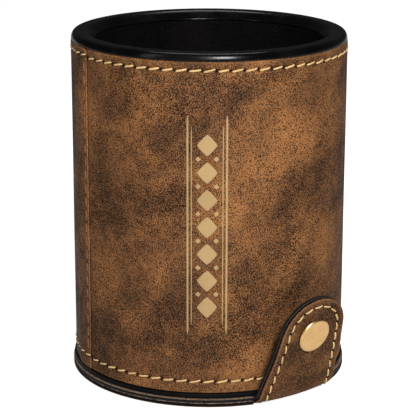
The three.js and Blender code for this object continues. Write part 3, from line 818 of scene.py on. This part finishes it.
def make_rim():
    """A closed profile: skirt, foot on the wrap, convex side, flat top, funnel, mouth."""
    skirt_in, skirt_out = CUP_R + 0.1 * MM, SHELL_BORE_R - 0.1 * MM
    top_out = WRAP_R - RIM_SET_BACK
    top_in = top_out - RIM_TOP_WIDTH
    side_low, side_in = rim_foot + 0.25 * MM, top_out + 0.25 * MM
    swing = np.linspace(0, math.pi / 2, 9)
    side_r = side_in + (WRAP_R - 0.05 * MM - side_in) * np.cos(swing)
    side_z = side_low + (RIM_TOP - 0.08 * MM - side_low) * np.sin(swing) ** 1.15
    funnel = np.linspace(0, 1, 9)
    funnel_r = top_in - 0.3 * MM - funnel * (top_in - 0.3 * MM - MOUTH_R)
    funnel_z = RIM_TOP - 0.12 * MM - (FUNNEL_DEPTH - 0.12 * MM) * funnel ** 1.35
    mouth_z = rim_high.z - FUNNEL_DEPTH - 0.4 * MM
    profile = [(skirt_in, rim_low.z), (skirt_out, rim_low.z), (skirt_out, rim_foot),
               (WRAP_R - 0.1 * MM, rim_foot), *zip(side_r, side_z), (top_out, RIM_TOP),
               (top_in, RIM_TOP), *zip(funnel_r, funnel_z), (MOUTH_R + 0.1 * MM, mouth_z),
               (skirt_in, mouth_z)]
    rim = turned("rim", rounded(profile, 0.18 * MM, 4))
    return finish_piece(rim, "cup", rim_plastic, ["rim_ring"])


def make_base_ring():
    """An L-shaped ring: the lip under the wrap and the plug inside the tube."""
    low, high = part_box("base_ring")
    bore, lip = reach("base_ring")
    lip_top = WRAP_Z0 - 0.1 * MM
    plug = SHELL_BORE_R - 0.1 * MM
    profile = [(bore, low.z), (lip - 0.45 * MM, low.z), (lip, low.z + 0.45 * MM), (lip, lip_top),
               (plug, lip_top), (plug, high.z), (bore, high.z)]
    ring = turned("lower_ring", rounded(profile, 0.22 * MM, 5))
    return finish_piece(ring, "cup", ring_plastic, ["base_ring"])


make_rim()
make_base_ring()

# %% Flocked lining


def flocked_sleeve():
    """The sleeve waves by a few hundredths of a millimetre, as glued flock does."""
    low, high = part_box("lining_sleeve")
    inner, outer = reach("lining_sleeve")
    z = np.linspace(low.z, high.z, 60)[:, None]
    angle = np.linspace(0, 2 * math.pi, 240, endpoint=False)[None, :]
    wave = np.sin(5 * angle + z / (11 * MM)) * np.sin(z / (7 * MM) + 2 * np.sin(3 * angle))
    inside = inner - 0.04 * MM * wave
    skin = np.stack([*polar(inside, angle), np.broadcast_to(z, inside.shape)], -1)
    back = skin[::-1][[0, -1]].copy()
    back[..., 0], back[..., 1] = polar(outer, angle)
    sleeve = grid_piece("flock_sleeve", np.concatenate([skin, back]), close_rows=True,
                        close_columns=True)
    return finish_piece(sleeve, "cup", black_flock, ["lining_sleeve"])


def flocked_floor():
    """A pad that is slightly fuller in the middle and rounds off at its edge."""
    low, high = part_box("lining_floor")
    radius = high.x
    r = radius * np.linspace(0, 1, 24)
    top = high.z + 0.25 * MM * (1 - (r / radius) ** 2) - edge_drop(radius - r, 0.6 * MM)
    profile = list(zip(r, top)) + [(radius, low.z), (0, low.z)]
    pad = turned("flock_floor", profile, closed=False)
    return finish_piece(pad, "cup", black_flock, ["lining_floor"])


flocked_sleeve()
flocked_floor()

# %% [markdown]
# ## Pieces that keep their mechanical shape
# The tube, the inner cup, the rivet and the two halves of the snap already have their real
# shape. Their meshes are copied, their loose triangles are joined so that round walls shade
# smoothly, and a small bevel takes the sharpness off the corners of the metal ones.

# %% Smoothed copies


def smoothed_copy(name, node_name, body, material, bevel):
    """A copy of a mechanical piece's mesh, with its triangles joined and its corners softened."""
    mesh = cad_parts[node_name].data.copy()
    mesh.materials.clear()
    work = bmesh.new()
    work.from_mesh(mesh)
    bmesh.ops.remove_doubles(work, verts=work.verts, dist=2e-6)
    bmesh.ops.dissolve_limit(work, angle_limit=math.radians(1), verts=work.verts, edges=work.edges)
    work.to_mesh(mesh)
    work.free()
    mesh.polygons.foreach_set("use_smooth", np.ones(len(mesh.polygons), bool))
    mesh.set_sharp_from_angle(angle=math.radians(32))
    piece = bpy.data.objects.new(name, mesh)
    bpy.context.scene.collection.objects.link(piece)
    if bevel:
        soften_corners(piece, bevel, 40)
    print(f"{name}: {len(mesh.polygons)} faces from {node_name}")
    return finish_piece(piece, body, material, [node_name])


for name, node_name in (("tube_wall", "shell_tube"), ("cup_liner", "inner_cup")):
    smoothed_copy(name, node_name, "cup", tube_plastic, 0.0)
for name, node_name, body, bevel in (("snap_rivet", "stud_rivet", "cup", 0.15 * MM),
                                     ("snap_ball_stud", "snap_stud", "cup", 0.08 * MM),
                                     ("snap_socket_ring", "snap_socket", "snap_tab", 0.12 * MM),
                                     ("snap_spring", "socket_spring", "snap_tab", 0.1 * MM)):
    smoothed_copy(name, node_name, body, cap_brass, bevel)

# %% [markdown]
# ## Leather cut to an outline
# The tab, the flap and the hinge tongue are each two layers of leather cut to one outline. A
# layer is made of loops that follow its outline, each at its own inset: from the middle of the
# face out to the cut edge, round it and across the back. The same loops carry the sewing
# channel. What differs between the three is only the outline and how flat leather is laid in
# space, so both are passed in as functions.

# %% Leather layers
MIDDLE = 10.0 * MM
LAYER_GAP = 0.1 * MM
STITCH_INSET = 2.56 * MM
FACE_INSETS = np.array([9, 7, 5.4, 4.4, 3.7, 3.25, 2.95, 2.75, 2.56, 2.37, 2.15, 1.85, 1.4, 1,
                        0.7]) * MM
EDGE_STEPS = 6


def layer_rows(top, bottom, round_top, round_bottom):
    """Insets and depths of the loops, from the middle of the face to the middle of the back."""
    swing = np.linspace(0, math.pi / 2, EDGE_STEPS)
    rim = [(round_top * (1 - math.sin(a)), top - round_top * (1 - math.cos(a))) for a in swing]
    low = [(round_bottom * (1 - math.cos(a)), bottom + round_bottom * (1 - math.sin(a)))
           for a in swing]
    rows = [(MIDDLE, top)] + [(inset, top) for inset in FACE_INSETS] + rim
    rows += low + [(inset, bottom) for inset in (0.8 * MM, 3 * MM, 6.5 * MM, MIDDLE)]
    return np.array(rows)


def leather_layer(name, outline, place, top, bottom, phase, face, round_top=0.3 * MM,
                  close_columns=False, free_edge=1.0, crown=0.1 * MM, fray_front=0.3, fray_back=0.3):
    """Formula: place(outline(inset), depth), where the depth of the face is lowered in the
    sewing channel and at each needle hole, and raised a little on both sides of the channel.
    phase counts stitches along the outline; face is 1 where the front is the good side, and
    free_edge is 0 where the edge runs on into the next piece."""
    rows = layer_rows(top, bottom, round_top, 0.12 * MM)
    split = 1 + len(FACE_INSETS)
    to_hole = (phase - np.round(phase)) * PITCH
    points, pits, wear_and_highlight = [], [], []
    for k, (inset, depth) in enumerate(rows):
        x, s = outline(inset if k < split or inset == MIDDLE else inset * free_edge)
        if inset == MIDDLE:
            x = x * 0
            s = s * 0 if close_columns else s
        if split <= k < split + EDGE_STEPS:
            depth = top + (depth - top) * free_edge
        hole = relief = 0 * x
        if k < split:
            across = inset - STITCH_INSET
            hole = np.clip(PIT_FILL * bell(np.hypot(across, to_hole), PIT_R), 0, 1)
            relief = (0.12 * MM * bell(across, 0.5 * MM) - crown * bell(across + 1.2 * MM, 0.8 * MM)
                      - 0.5 * crown * bell(across - 1.5 * MM, 1.2 * MM))
        points.append(place(x, s, depth - relief - 0.2 * MM * hole))
        # Painted shade in the needle holes of the good face.
        pits.append(hole * face)
        # Paler near the cut edge: rubbed wear, and a painted highlight on the rounded edge.
        edge = smooth(1.0 * MM, 0.25 * MM, inset) if k < split + 3 else 0.0
        wear_and_highlight.append(np.broadcast_to(edge * face * free_edge, x.shape))
    shape = (len(rows), len(points[0]))
    loop = np.arange(len(rows))[:, None]
    front = (loop < split + EDGE_STEPS - 1) * face * np.ones(shape)
    front_cut = (loop >= split) & (loop <= split + 3)
    back_cut = (loop >= split + EDGE_STEPS + 2) & (loop <= split + 2 * EDGE_STEPS)
    fray = (fray_front * front_cut + fray_back * back_cut) * free_edge * np.ones(shape)
    marks = {"pit_shade": np.stack(pits), "wear_and_highlight": np.stack(wear_and_highlight), "face": front, "fray": fray}
    return grid_piece(name, np.stack(points), close_columns=close_columns, attributes=marks, sharp=65)


def path_phase(points, count):
    """Stitch count reached at each point of an outline: its length so far over the pitch."""
    steps = np.linalg.norm(np.diff(points, axis=0), axis=1)
    length = np.concatenate([[0], np.cumsum(steps)])
    return length / length[-1] * count, length[-1]


def stitches_along(name, points, outward, count, seed, replaces):
    """Stitches evenly spaced on a line of points, each halfway between two needle holes."""
    phase, total = path_phase(points, count)
    wanted = np.arange(count) + 0.5

    def sample(where, values):
        """The values at given stitch counts, between the outline's own points."""
        return np.stack([np.interp(where, phase, values[:, k]) for k in range(3)], -1)

    centres = sample(wanted, points)
    out = sample(wanted, outward)
    out /= np.linalg.norm(out, axis=1, keepdims=True)
    run = sample(wanted + 0.3, points) - sample(wanted - 0.3, points)
    run -= out * (run * out).sum(1, keepdims=True)
    run /= np.linalg.norm(run, axis=1, keepdims=True)
    return stitch_row(name, centres - out * 0.12 * MM, run, out, total / count, None,
                      gold_thread, replaces, seed=seed)

# %% [markdown]
# ## The snap tab
# The tab is the flap's leather turned up in front of the wall: a straight foot, sides that lean
# in, and a round head. It stands a little away from the wall because the snap is behind it. A
# flat point (x across, s up the tab) is laid on a path that starts flat under the cup, goes
# round a bend and then runs straight, leaning out.

# %% Tab: outline and place
TAB_LEAN = math.radians(16.2)
TAB_T = 2.0 * MM
TAB_FOOT = 14.0 * MM
TAB_HEAD_R = 11.6 * MM
FOLD_IN_R = 0.8 * MM
FOLD_OUT_R = FOLD_IN_R + TAB_T
FOLD_Y = -(RING_R + 0.1 * MM - FOLD_IN_R * math.cos(TAB_LEAN))
BEND_OUT_R = 4.5 * MM
FOOT_SHIFT = (BEND_OUT_R - FOLD_OUT_R) * math.tan((math.pi / 2 - TAB_LEAN) / 2)
BEND_Y = FOLD_Y + FOOT_SHIFT
BEND_LENGTH = BEND_OUT_R * (math.pi / 2 - TAB_LEAN)
TAB_LEAD = 0.1 * MM
FLAP_FRONT = -BEND_Y - TAB_LEAD
TAB_HEAD_S = 20.9 * MM - FOOT_SHIFT
SNAP_S = 20.5 * MM - FOOT_SHIFT


def lay_strip(s, depth, bend_r, bend_length, lean):
    """Reach and height of leather that runs flat, bends up and goes on leaning outwards, with the
    bend's centre at reach 0 and height bend_r. s is 0 at the end of the bend; depth is 0 on the
    outer face and negative inside the leather."""
    turn = lean + np.clip(-s / bend_r, 0, math.pi / 2 - lean)
    radius = bend_r + depth
    reach_out = radius * np.cos(turn) + np.maximum(s, 0) * math.sin(lean)
    rise = bend_r - radius * np.sin(turn) + np.maximum(s, 0) * math.cos(lean)
    return reach_out - np.maximum(-s - bend_length, 0), rise


def place_tab(x, s, depth):
    """The foot follows the round edge of the flap, and further up the tab becomes flat."""
    out, z = lay_strip(s, depth, BEND_OUT_R, BEND_LENGTH, TAB_LEAN)
    fall_back = -BEND_Y - np.sqrt(BEND_Y ** 2 - np.square(x))
    share = 0.5 * smooth(16 * MM, 0, s) + 0.5 * smooth(0, -BEND_LENGTH, s)
    return np.stack([np.broadcast_to(x, out.shape), BEND_Y - out + share * fall_back, z], -1)


side_lead = np.linspace(-BEND_LENGTH - TAB_LEAD, -BEND_LENGTH, 4)[:-1]
side_bend = np.linspace(-BEND_LENGTH, 0, 13)[:-1]


def tab_outline(inset):
    """Up the right side, round the head and down the left side. The side is the line from the
    foot that touches the head's circle."""
    foot, head = TAB_FOOT - inset, TAB_HEAD_R - inset
    rise = math.atan2(TAB_HEAD_S, -foot) - math.asin(head / math.hypot(foot, TAB_HEAD_S))
    touch = rise - math.pi / 2
    touch_x, touch_s = head * math.cos(touch), TAB_HEAD_S + head * math.sin(touch)
    up = np.linspace(0, touch_s, 64)[:-1]
    side_s = np.concatenate([side_lead, side_bend, up])
    side_x = np.where(side_s < 0, foot, foot + (touch_x - foot) * side_s / touch_s)
    swing = np.linspace(touch, math.pi - touch, 85)
    x = np.concatenate([side_x, head * np.cos(swing), -side_x[::-1]])
    s = np.concatenate([side_s, TAB_HEAD_S + head * np.sin(swing), side_s[::-1]])
    return x, s

# %% Tab: layers, stitches and cap


def cap_end(piece):
    """Closes the open end of a layer with one flat face."""
    work = bmesh.new()
    work.from_mesh(piece.data)
    open_edges = [edge for edge in work.edges if edge.is_boundary]
    bmesh.ops.holes_fill(work, edges=open_edges, sides=0)
    bmesh.ops.recalc_face_normals(work, faces=work.faces)
    work.to_mesh(piece.data)
    work.free()
    return piece


def row_in_space(outline, place):
    """The sewing line of an outline as points in space, with the outward direction there."""
    x, s = outline(STITCH_INSET)
    points = place(x, s, 0 * x)
    outward = points - place(x, s, 0 * x - 1 * MM)
    return points, outward / np.linalg.norm(outward, axis=1, keepdims=True)


def middle_of(place, s):
    """The point half way through the leather on its middle line, as a plain tuple."""
    return tuple(place(np.zeros(1), np.full(1, s), np.full(1, -TAB_T / 2))[0])


def folded_leather(name, outline, place, count, seed):
    """Two layers and their row of `count` stitches, laid round one bend: good leather outside, black
    backing behind."""
    line, outward = row_in_space(outline, place)
    phase, length = path_phase(line, count)
    print(f"{name} stitches every {length / count / MM:.2f} mm")
    cover = cap_end(leather_layer(name + "_leather", outline, place, 0.0, -LEATHER_T, phase, 1.0))
    finish_piece(cover, None, flap_leather, [name + "_cover"])
    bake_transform(cover)
    backing = cap_end(leather_layer(name + "_backing", outline, place, -LEATHER_T - LAYER_GAP,
                                    -TAB_T, phase, 0.0, round_top=0.12 * MM, crown=0.0))
    finish_piece(backing, None, black_backing, [name + "_lining"])
    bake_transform(backing)
    thread = stitches_along(name + "_stitches", line, outward, count, seed, [name + "_stitching"])
    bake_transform(thread)


TAB_STITCHES = 23
tab_bend = [middle_of(place_tab, -BEND_LENGTH), middle_of(place_tab, 0.0)]
folded_leather("tab", tab_outline, place_tab, TAB_STITCHES,
               seed=21)

# %% [markdown]
# The cap is a brass button: a flat, brushed face, a bevel that catches the light, and an edge
# rolled in towards the leather. Its post goes through the leather to the socket behind.

# %% Snap cap
CAP_R = 5.43 * MM
CAP_H = 1.25 * MM
POST_R = 1.4 * MM
POST_L = 3.0 * MM


def place_on_tab(points):
    """Lays a piece turned round Z on the tab, with its foot on the leather's face at the snap."""
    foot = place_tab(np.zeros(1), np.full(1, SNAP_S), np.zeros(1))[0]
    up = np.array([0, -math.sin(TAB_LEAN), math.cos(TAB_LEAN)])
    out = np.array([0, -math.cos(TAB_LEAN), -math.sin(TAB_LEAN)])
    across = np.array([1.0, 0, 0])
    return foot + points @ np.stack([across, up, out])


def make_cap():
    """A nearly flat face, a bevel, a rolled edge and the post."""
    face_r = CAP_R - 0.62 * MM
    r = np.linspace(0, face_r, 10)
    dome = CAP_H - 0.05 * MM * (r / face_r) ** 2
    profile = [*zip(r, dome), (CAP_R - 0.2 * MM, CAP_H - 0.26 * MM), (CAP_R, CAP_H - 0.62 * MM),
               (CAP_R - 0.12 * MM, 0.3 * MM), (CAP_R - 0.55 * MM, 0.06 * MM), (POST_R, 0.06 * MM),
               (POST_R, -POST_L), (0, -POST_L)]
    cap = turned("snap_button", profile, place=place_on_tab, steps=96, closed=False, sharp=28)
    soften_corners(cap, 0.1 * MM, 22)
    return finish_piece(cap, "snap_tab", cap_brass, ["snap_cap"])


make_cap()

# %% [markdown]
# ## The hinge tongue
# Behind the cup the same two layers turn up into a tongue that is glued to the wall, so this
# bend is the flap's hinge. It is laid out like the tab, but it stands upright and follows the
# wall round, so the strip's reach is counted from the cup's axis.

# %% Hinge tongue
TONGUE_W = 13.0 * MM
TONGUE_CORNER = 6.0 * MM
tongue_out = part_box("hinge_tongue_cover")[1]
TONGUE_R = tongue_out.y
HINGE_BEND_R = 3.1 * MM
HINGE_BEND = HINGE_BEND_R * math.pi / 2
TONGUE_S = tongue_out.z - HINGE_BEND_R
BACK_CUT_R = 40.3 * MM
HINGE_LEAD = TONGUE_R - HINGE_BEND_R - BACK_CUT_R
hinge_lead = np.linspace(-HINGE_BEND - HINGE_LEAD, -HINGE_BEND, 4)[:-1]
hinge_bend = np.linspace(-HINGE_BEND, 0, 19)[:-1]


def place_tongue(x, s, depth):
    """The strip's reach is counted from the axis, and its width goes round the wall."""
    out, z = lay_strip(s, depth, HINGE_BEND_R, HINGE_BEND, 0.0)
    return np.stack([*polar(TONGUE_R - HINGE_BEND_R + out, math.pi - x / TONGUE_R), z], -1)


def tongue_outline(inset):
    """Up one side, round two corners and down the other side."""
    half, top = TONGUE_W - inset, TONGUE_S - inset
    corner = max(TONGUE_CORNER - inset, 0.3 * MM)
    side_s = np.concatenate([hinge_lead, hinge_bend, np.linspace(0, top - corner, 34)[:-1]])
    swing = np.linspace(0, math.pi / 2, 26)
    across = np.linspace(half - corner, -(half - corner), 42)[1:-1]
    turn_x, turn_s = half - corner + corner * np.cos(swing), top - corner + corner * np.sin(swing)
    x = np.concatenate([side_s * 0 + half, turn_x, across, -turn_x[::-1], side_s * 0 - half])
    s = np.concatenate([side_s, turn_s, across * 0 + top, turn_s[::-1], side_s[::-1]])
    return x, s


TONGUE_STITCHES = 17
hinge_turn = [middle_of(place_tongue, 0.0), middle_of(place_tongue, -HINGE_BEND)]
folded_leather("hinge_tongue", tongue_outline, place_tongue, TONGUE_STITCHES,
               seed=31)

# %% [markdown]
# ## The flap
# The flap is a disc of the same leather with a board inside and black backing on top. It stands
# out past the wall as a thin dark edge of several layers. Its round outline is cut short at the
# front and at the back, where the tab's and the hinge's leather take over.

# %% Flap outline
FRONT_CUT = math.asin(TAB_FOOT / FLAP_FRONT)
BACK_CUT = TONGUE_W / TONGUE_R
JOIN_GAP = 0.02 * MM


def from_front(angle):
    """How far an angle is from the front, either way round."""
    return np.abs((angle + math.pi) % (2 * math.pi) - math.pi)


flap_angles = np.linspace(0, 2 * math.pi, 432, endpoint=False)
steps_at = np.array([FRONT_CUT, 2 * math.pi - FRONT_CUT, math.pi - BACK_CUT, math.pi + BACK_CUT])
flap_angles = np.sort(np.concatenate([flap_angles, steps_at - 1e-4, steps_at + 1e-4]))
at_front = from_front(flap_angles) < FRONT_CUT
at_back = np.abs(flap_angles - math.pi) < BACK_CUT
flap_free = np.where(at_front | at_back, 0.0, 1.0)


def flap_edge(radius):
    """The disc's edge at each angle: a circle, cut short where the tab and the hinge lead on."""
    edge = np.full(flap_angles.shape, radius)
    edge = np.where(at_front, FLAP_FRONT - JOIN_GAP, edge)
    return np.where(at_back, BACK_CUT_R - JOIN_GAP, edge)


def beside_tab(radius):
    """Turns the points just outside the tab's foot so that the disc ends along the tab's side."""
    side = np.arcsin(np.clip((TAB_FOOT + JOIN_GAP) / np.maximum(radius, 1 * MM), 0, 1))
    turned_by = np.clip(FRONT_CUT - side, 0, None)
    near = np.where(at_front, 0.0, smooth(FRONT_CUT + 0.2, FRONT_CUT, from_front(flap_angles)))
    return flap_angles - turned_by * near * np.where(flap_angles < math.pi, 1, -1)


def flap_outline(inset):
    """The outline of the leather and of the backing."""
    edge = flap_edge(FLAP_R) - inset
    return polar(edge, beside_tab(edge))


def place_flap(x, y, depth):
    """Flat leather with its good side down: the face is z = 0 and the leather goes up from it."""
    return np.stack([x, y, np.broadcast_to(-depth, x.shape)], -1)

# %% Flap: layers and stitches


def make_flap():
    """Leather, board and backing on one another, and the stitches that the desk side shows."""
    line_r = FLAP_R - STITCH_INSET
    count = round(2 * math.pi * line_r / PITCH)
    phase = flap_angles / (2 * math.pi) * count
    cover = leather_layer("flap_leather", flap_outline, place_flap, 0.0, -LEATHER_T, phase, 1.0,
                          close_columns=True, free_edge=flap_free, crown=0.0)
    finish_piece(cover, "base_flap", flap_leather, ["flap_cover"])
    low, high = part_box("flap_board")

    def board_outline(inset):
        """The board ends just inside the leather, and further in at the tab and the hinge."""
        edge = np.where(flap_free > 0, FLAP_R - 0.12 * MM, flap_edge(high.x) - 0.3 * MM) - inset
        return polar(edge, beside_tab(edge))

    board = leather_layer("flap_stiffener", board_outline, place_flap, -low.z, -high.z, phase, 0.0,
                          round_top=0.05 * MM, close_columns=True, free_edge=flap_free, crown=0.0)
    finish_piece(board, "base_flap", grey_board, ["flap_board"])
    low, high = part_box("flap_lining")
    lining = leather_layer("flap_backing", flap_outline, place_flap, -low.z, -high.z, phase, 0.0,
                           round_top=0.2 * MM, close_columns=True, free_edge=flap_free, crown=0.0,
                           fray_front=0.8, fray_back=0.9)
    finish_piece(lining, "base_flap", black_backing, ["flap_lining"])
    wanted = (np.arange(count) + 0.5) / count * 2 * math.pi
    kept = wanted[(np.abs(wanted - math.pi) > BACK_CUT * 0.86)
                  & (from_front(wanted) > FRONT_CUT * 0.86)]
    centres = np.stack([*polar(line_r, kept), np.full(kept.shape, 0.22 * MM)], -1)
    down = np.tile([0.0, 0.0, -1.0], (len(kept), 1))
    stitch_row("flap_stitches", centres, around(kept), down, PITCH, "base_flap",
               gold_thread, ["flap_stitching"], rise=0.1 * MM, radius=0.2 * MM, seed=41)


make_flap()

# %% [markdown]
# ## The mark on the wall
# The wall carries a pale mark burnt into the leatherette. Here it is a plain geometric border: a
# column of lozenges and dots between two fine lines. Each shape is a thin inlay that follows
# the wall, so it stays crisp from any distance.

# %% Inlaid ornament
MARK_ANGLE = math.radians(-38.4)
MARK_LOW, MARK_HIGH = WRAP_Z0 + 18 * MM, WRAP_Z0 + 83 * MM
MARK_HALF = 5.6 * MM
MARK_STEP = 8.0 * MM
MARK_SINK = 3.0 * MM
DOT_R = 0.75 * MM
DOT_X = 2.6 * MM


def lozenge(half_width, half_height, points=32):
    """|x / w|^1.15 + |y / h|^1.15 = 1: a lozenge whose sides are very slightly full."""
    t = np.linspace(0, 2 * math.pi, points, endpoint=False)
    x = np.sign(np.cos(t)) * np.abs(np.cos(t)) ** 1.74
    y = np.sign(np.sin(t)) * np.abs(np.sin(t)) ** 1.74
    return np.stack([x * half_width, y * half_height], -1)


def bar(half_width, half_height, points=8):
    """A straight line with pointed ends, its long sides divided so that it follows the wall."""
    y = np.linspace(-half_height, half_height, points)
    side = np.full(points, half_width)
    side[[0, -1]] = half_width * 0.2
    return np.concatenate([np.stack([side, y], -1), np.stack([-side, y], -1)[::-1]])


def inlay_on_wall(outline, x, z):
    """Formula: the outline is carried from its middle on top, over its edge, to its middle
    underneath, and every point is laid on the wall at its own angle."""
    layers = [(0.0, 0.05), (0.55, 0.05), (0.97, 0.045), (1.0, -0.02), (1.0, -0.3), (0.0, -0.3)]
    grid = []
    for share, lift in layers:
        flat = outline * share + (x, z)
        radius = WRAP_R + 0.045 * MM + lift * MM
        grid.append(np.stack([*polar(radius, MARK_ANGLE + flat[:, 0] / WRAP_R), flat[:, 1]], -1))
    return np.stack(grid)


def make_ornament():
    """Two bars on each side, and between them the column of lozenges with pairs of dots."""
    middle = (MARK_LOW + MARK_HIGH) / 2
    span = (MARK_HIGH - MARK_LOW) / 2
    column = span - MARK_SINK
    shapes = []
    for side in (-1, 1):
        shapes.append((bar(0.28 * MM, span, 40), side * MARK_HALF, middle))
        shapes.append((bar(0.14 * MM, column, 40), side * (MARK_HALF - 1.1 * MM), middle))
    rows = int(2 * column / MARK_STEP)
    for k in range(rows):
        z = middle + (k - (rows - 1) / 2) * MARK_STEP
        shapes.append((lozenge(2.9 * MM, 3.1 * MM), 0, z))
        if k < rows - 1:
            shapes += [(lozenge(DOT_R, DOT_R), side * DOT_X, z + MARK_STEP / 2) for side in (-1, 1)]
    points, faces, used = [], [], 0
    for outline, x, z in shapes:
        grid = inlay_on_wall(outline, x, z)
        points.append(grid.reshape(-1, 3))
        faces.append(grid_faces(grid.shape[0], grid.shape[1], False, True) + used)
        used += len(points[-1])
    mark = build_piece("wall_ornament", np.concatenate(points), np.concatenate(faces), sharp=35)
    return finish_piece(mark, "cup", burnt_mark)


def make_burnt_mark():
    """Pale tan ground where the top coat was burnt away, a little blotchy and dry."""
    material, tree, shader = new_material("burnt_mark", Specular_IOR_Level=0.25)
    coords = object_coords(tree)
    clouds = place_group(tree, clouds_group, Coords=coords)
    fine = noise(tree, coords, 0.6 * MM, detail=3, roughness=0.6)
    pale = blend_colors(tree, clouds["Dark"], tone(170, 141, 97), tone(150, 122, 82))
    color = blend_colors(tree, spread(tree, fine, 0.56, 0.8), pale, tone(150, 116, 80))
    wire_up(tree, shader, color, spread(tree, fine, 0.2, 0.8, 0.65, 0.8), fine, 0.04 * MM)
    return material


burnt_mark = make_burnt_mark()
make_ornament()

# %% [markdown]
# ## Floor and light
# A catalogue picture has a white floor and large soft lights. Three area lights are enough: the
# main one just right of the camera, a weak strip on the left that keeps the dark side readable,
# and one overhead and behind for the rim. The floor glows by itself for the camera, so that it
# stays white, and more weakly in reflections. That glow lights nothing else, or it would flood
# the cup from below.

# %% Studio
FLOOR_TONE = 0.5
FLOOR_GLOW = 0.85
FLOOR_SHEEN = 0.3
FLOOR_GAP = 0.02 * MM
FLOOR_HALF = 3
AIR_LIGHT = 0.035
AIM_Z = 0.05
WHITE = (1, 1, 1, 1)


def make_floor():
    """A large plane a hair under the lowest thread, glowing for camera rays and glossy rays."""
    mesh = bpy.data.meshes.new("studio_floor")
    work = bmesh.new()
    bmesh.ops.create_grid(work, x_segments=1, y_segments=1, size=FLOOR_HALF)
    work.to_mesh(mesh)
    work.free()
    floor = bpy.data.objects.new("studio_floor", mesh)
    floor.location.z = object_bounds()[0].z - FLOOR_GAP
    bpy.context.scene.collection.objects.link(floor)
    material, tree, shader = new_material("studio_white", Roughness=0.9, Emission_Color=WHITE,
                                          Base_Color=(FLOOR_TONE, FLOOR_TONE, FLOOR_TONE, 1))
    rays = node(tree, "LightPath").outputs
    seen = calc(tree, "MULTIPLY", rays["Is Camera Ray"], FLOOR_GLOW)
    mirrored = calc(tree, "MULTIPLY", rays["Is Glossy Ray"], FLOOR_SHEEN)
    tree.links.new(calc(tree, "ADD", seen, mirrored), shader.inputs["Emission Strength"])
    floor.data.materials.append(material)


def soft_light(name, angle, height, distance, size, power):
    """An area light on a circle round the cup, `angle` degrees from the camera, aimed at the cup."""
    data = bpy.data.lights.new(name, "AREA")
    data.shape = "RECTANGLE"
    data.size, data.size_y = size
    data.energy = power
    lamp = bpy.data.objects.new(name, data)
    x, y = polar(distance, CAMERA_ANGLE + math.radians(angle))
    lamp.location = (x, y, height)
    aim = Vector((0, 0, AIM_Z)) - lamp.location
    lamp.rotation_euler = aim.to_track_quat("-Z", "Y").to_euler()
    bpy.context.scene.collection.objects.link(lamp)


make_floor()
soft_light("key_right", 12, 0.5, 0.75, (0.18, 0.3), 9.6)
soft_light("strip_left", -50, 0.4, 0.7, (0.12, 0.6), 0.7)
soft_light("overhead", 180, 0.8, 0.3, (0.4, 0.2), 2.5)
world = bpy.data.worlds.new("studio_air")
world.use_nodes = True
air = world.node_tree.nodes["Background"].inputs
air["Color"].default_value = WHITE
air["Strength"].default_value = AIR_LIGHT
bpy.context.scene.world = world
bpy.context.scene.view_settings.view_transform = "Standard"
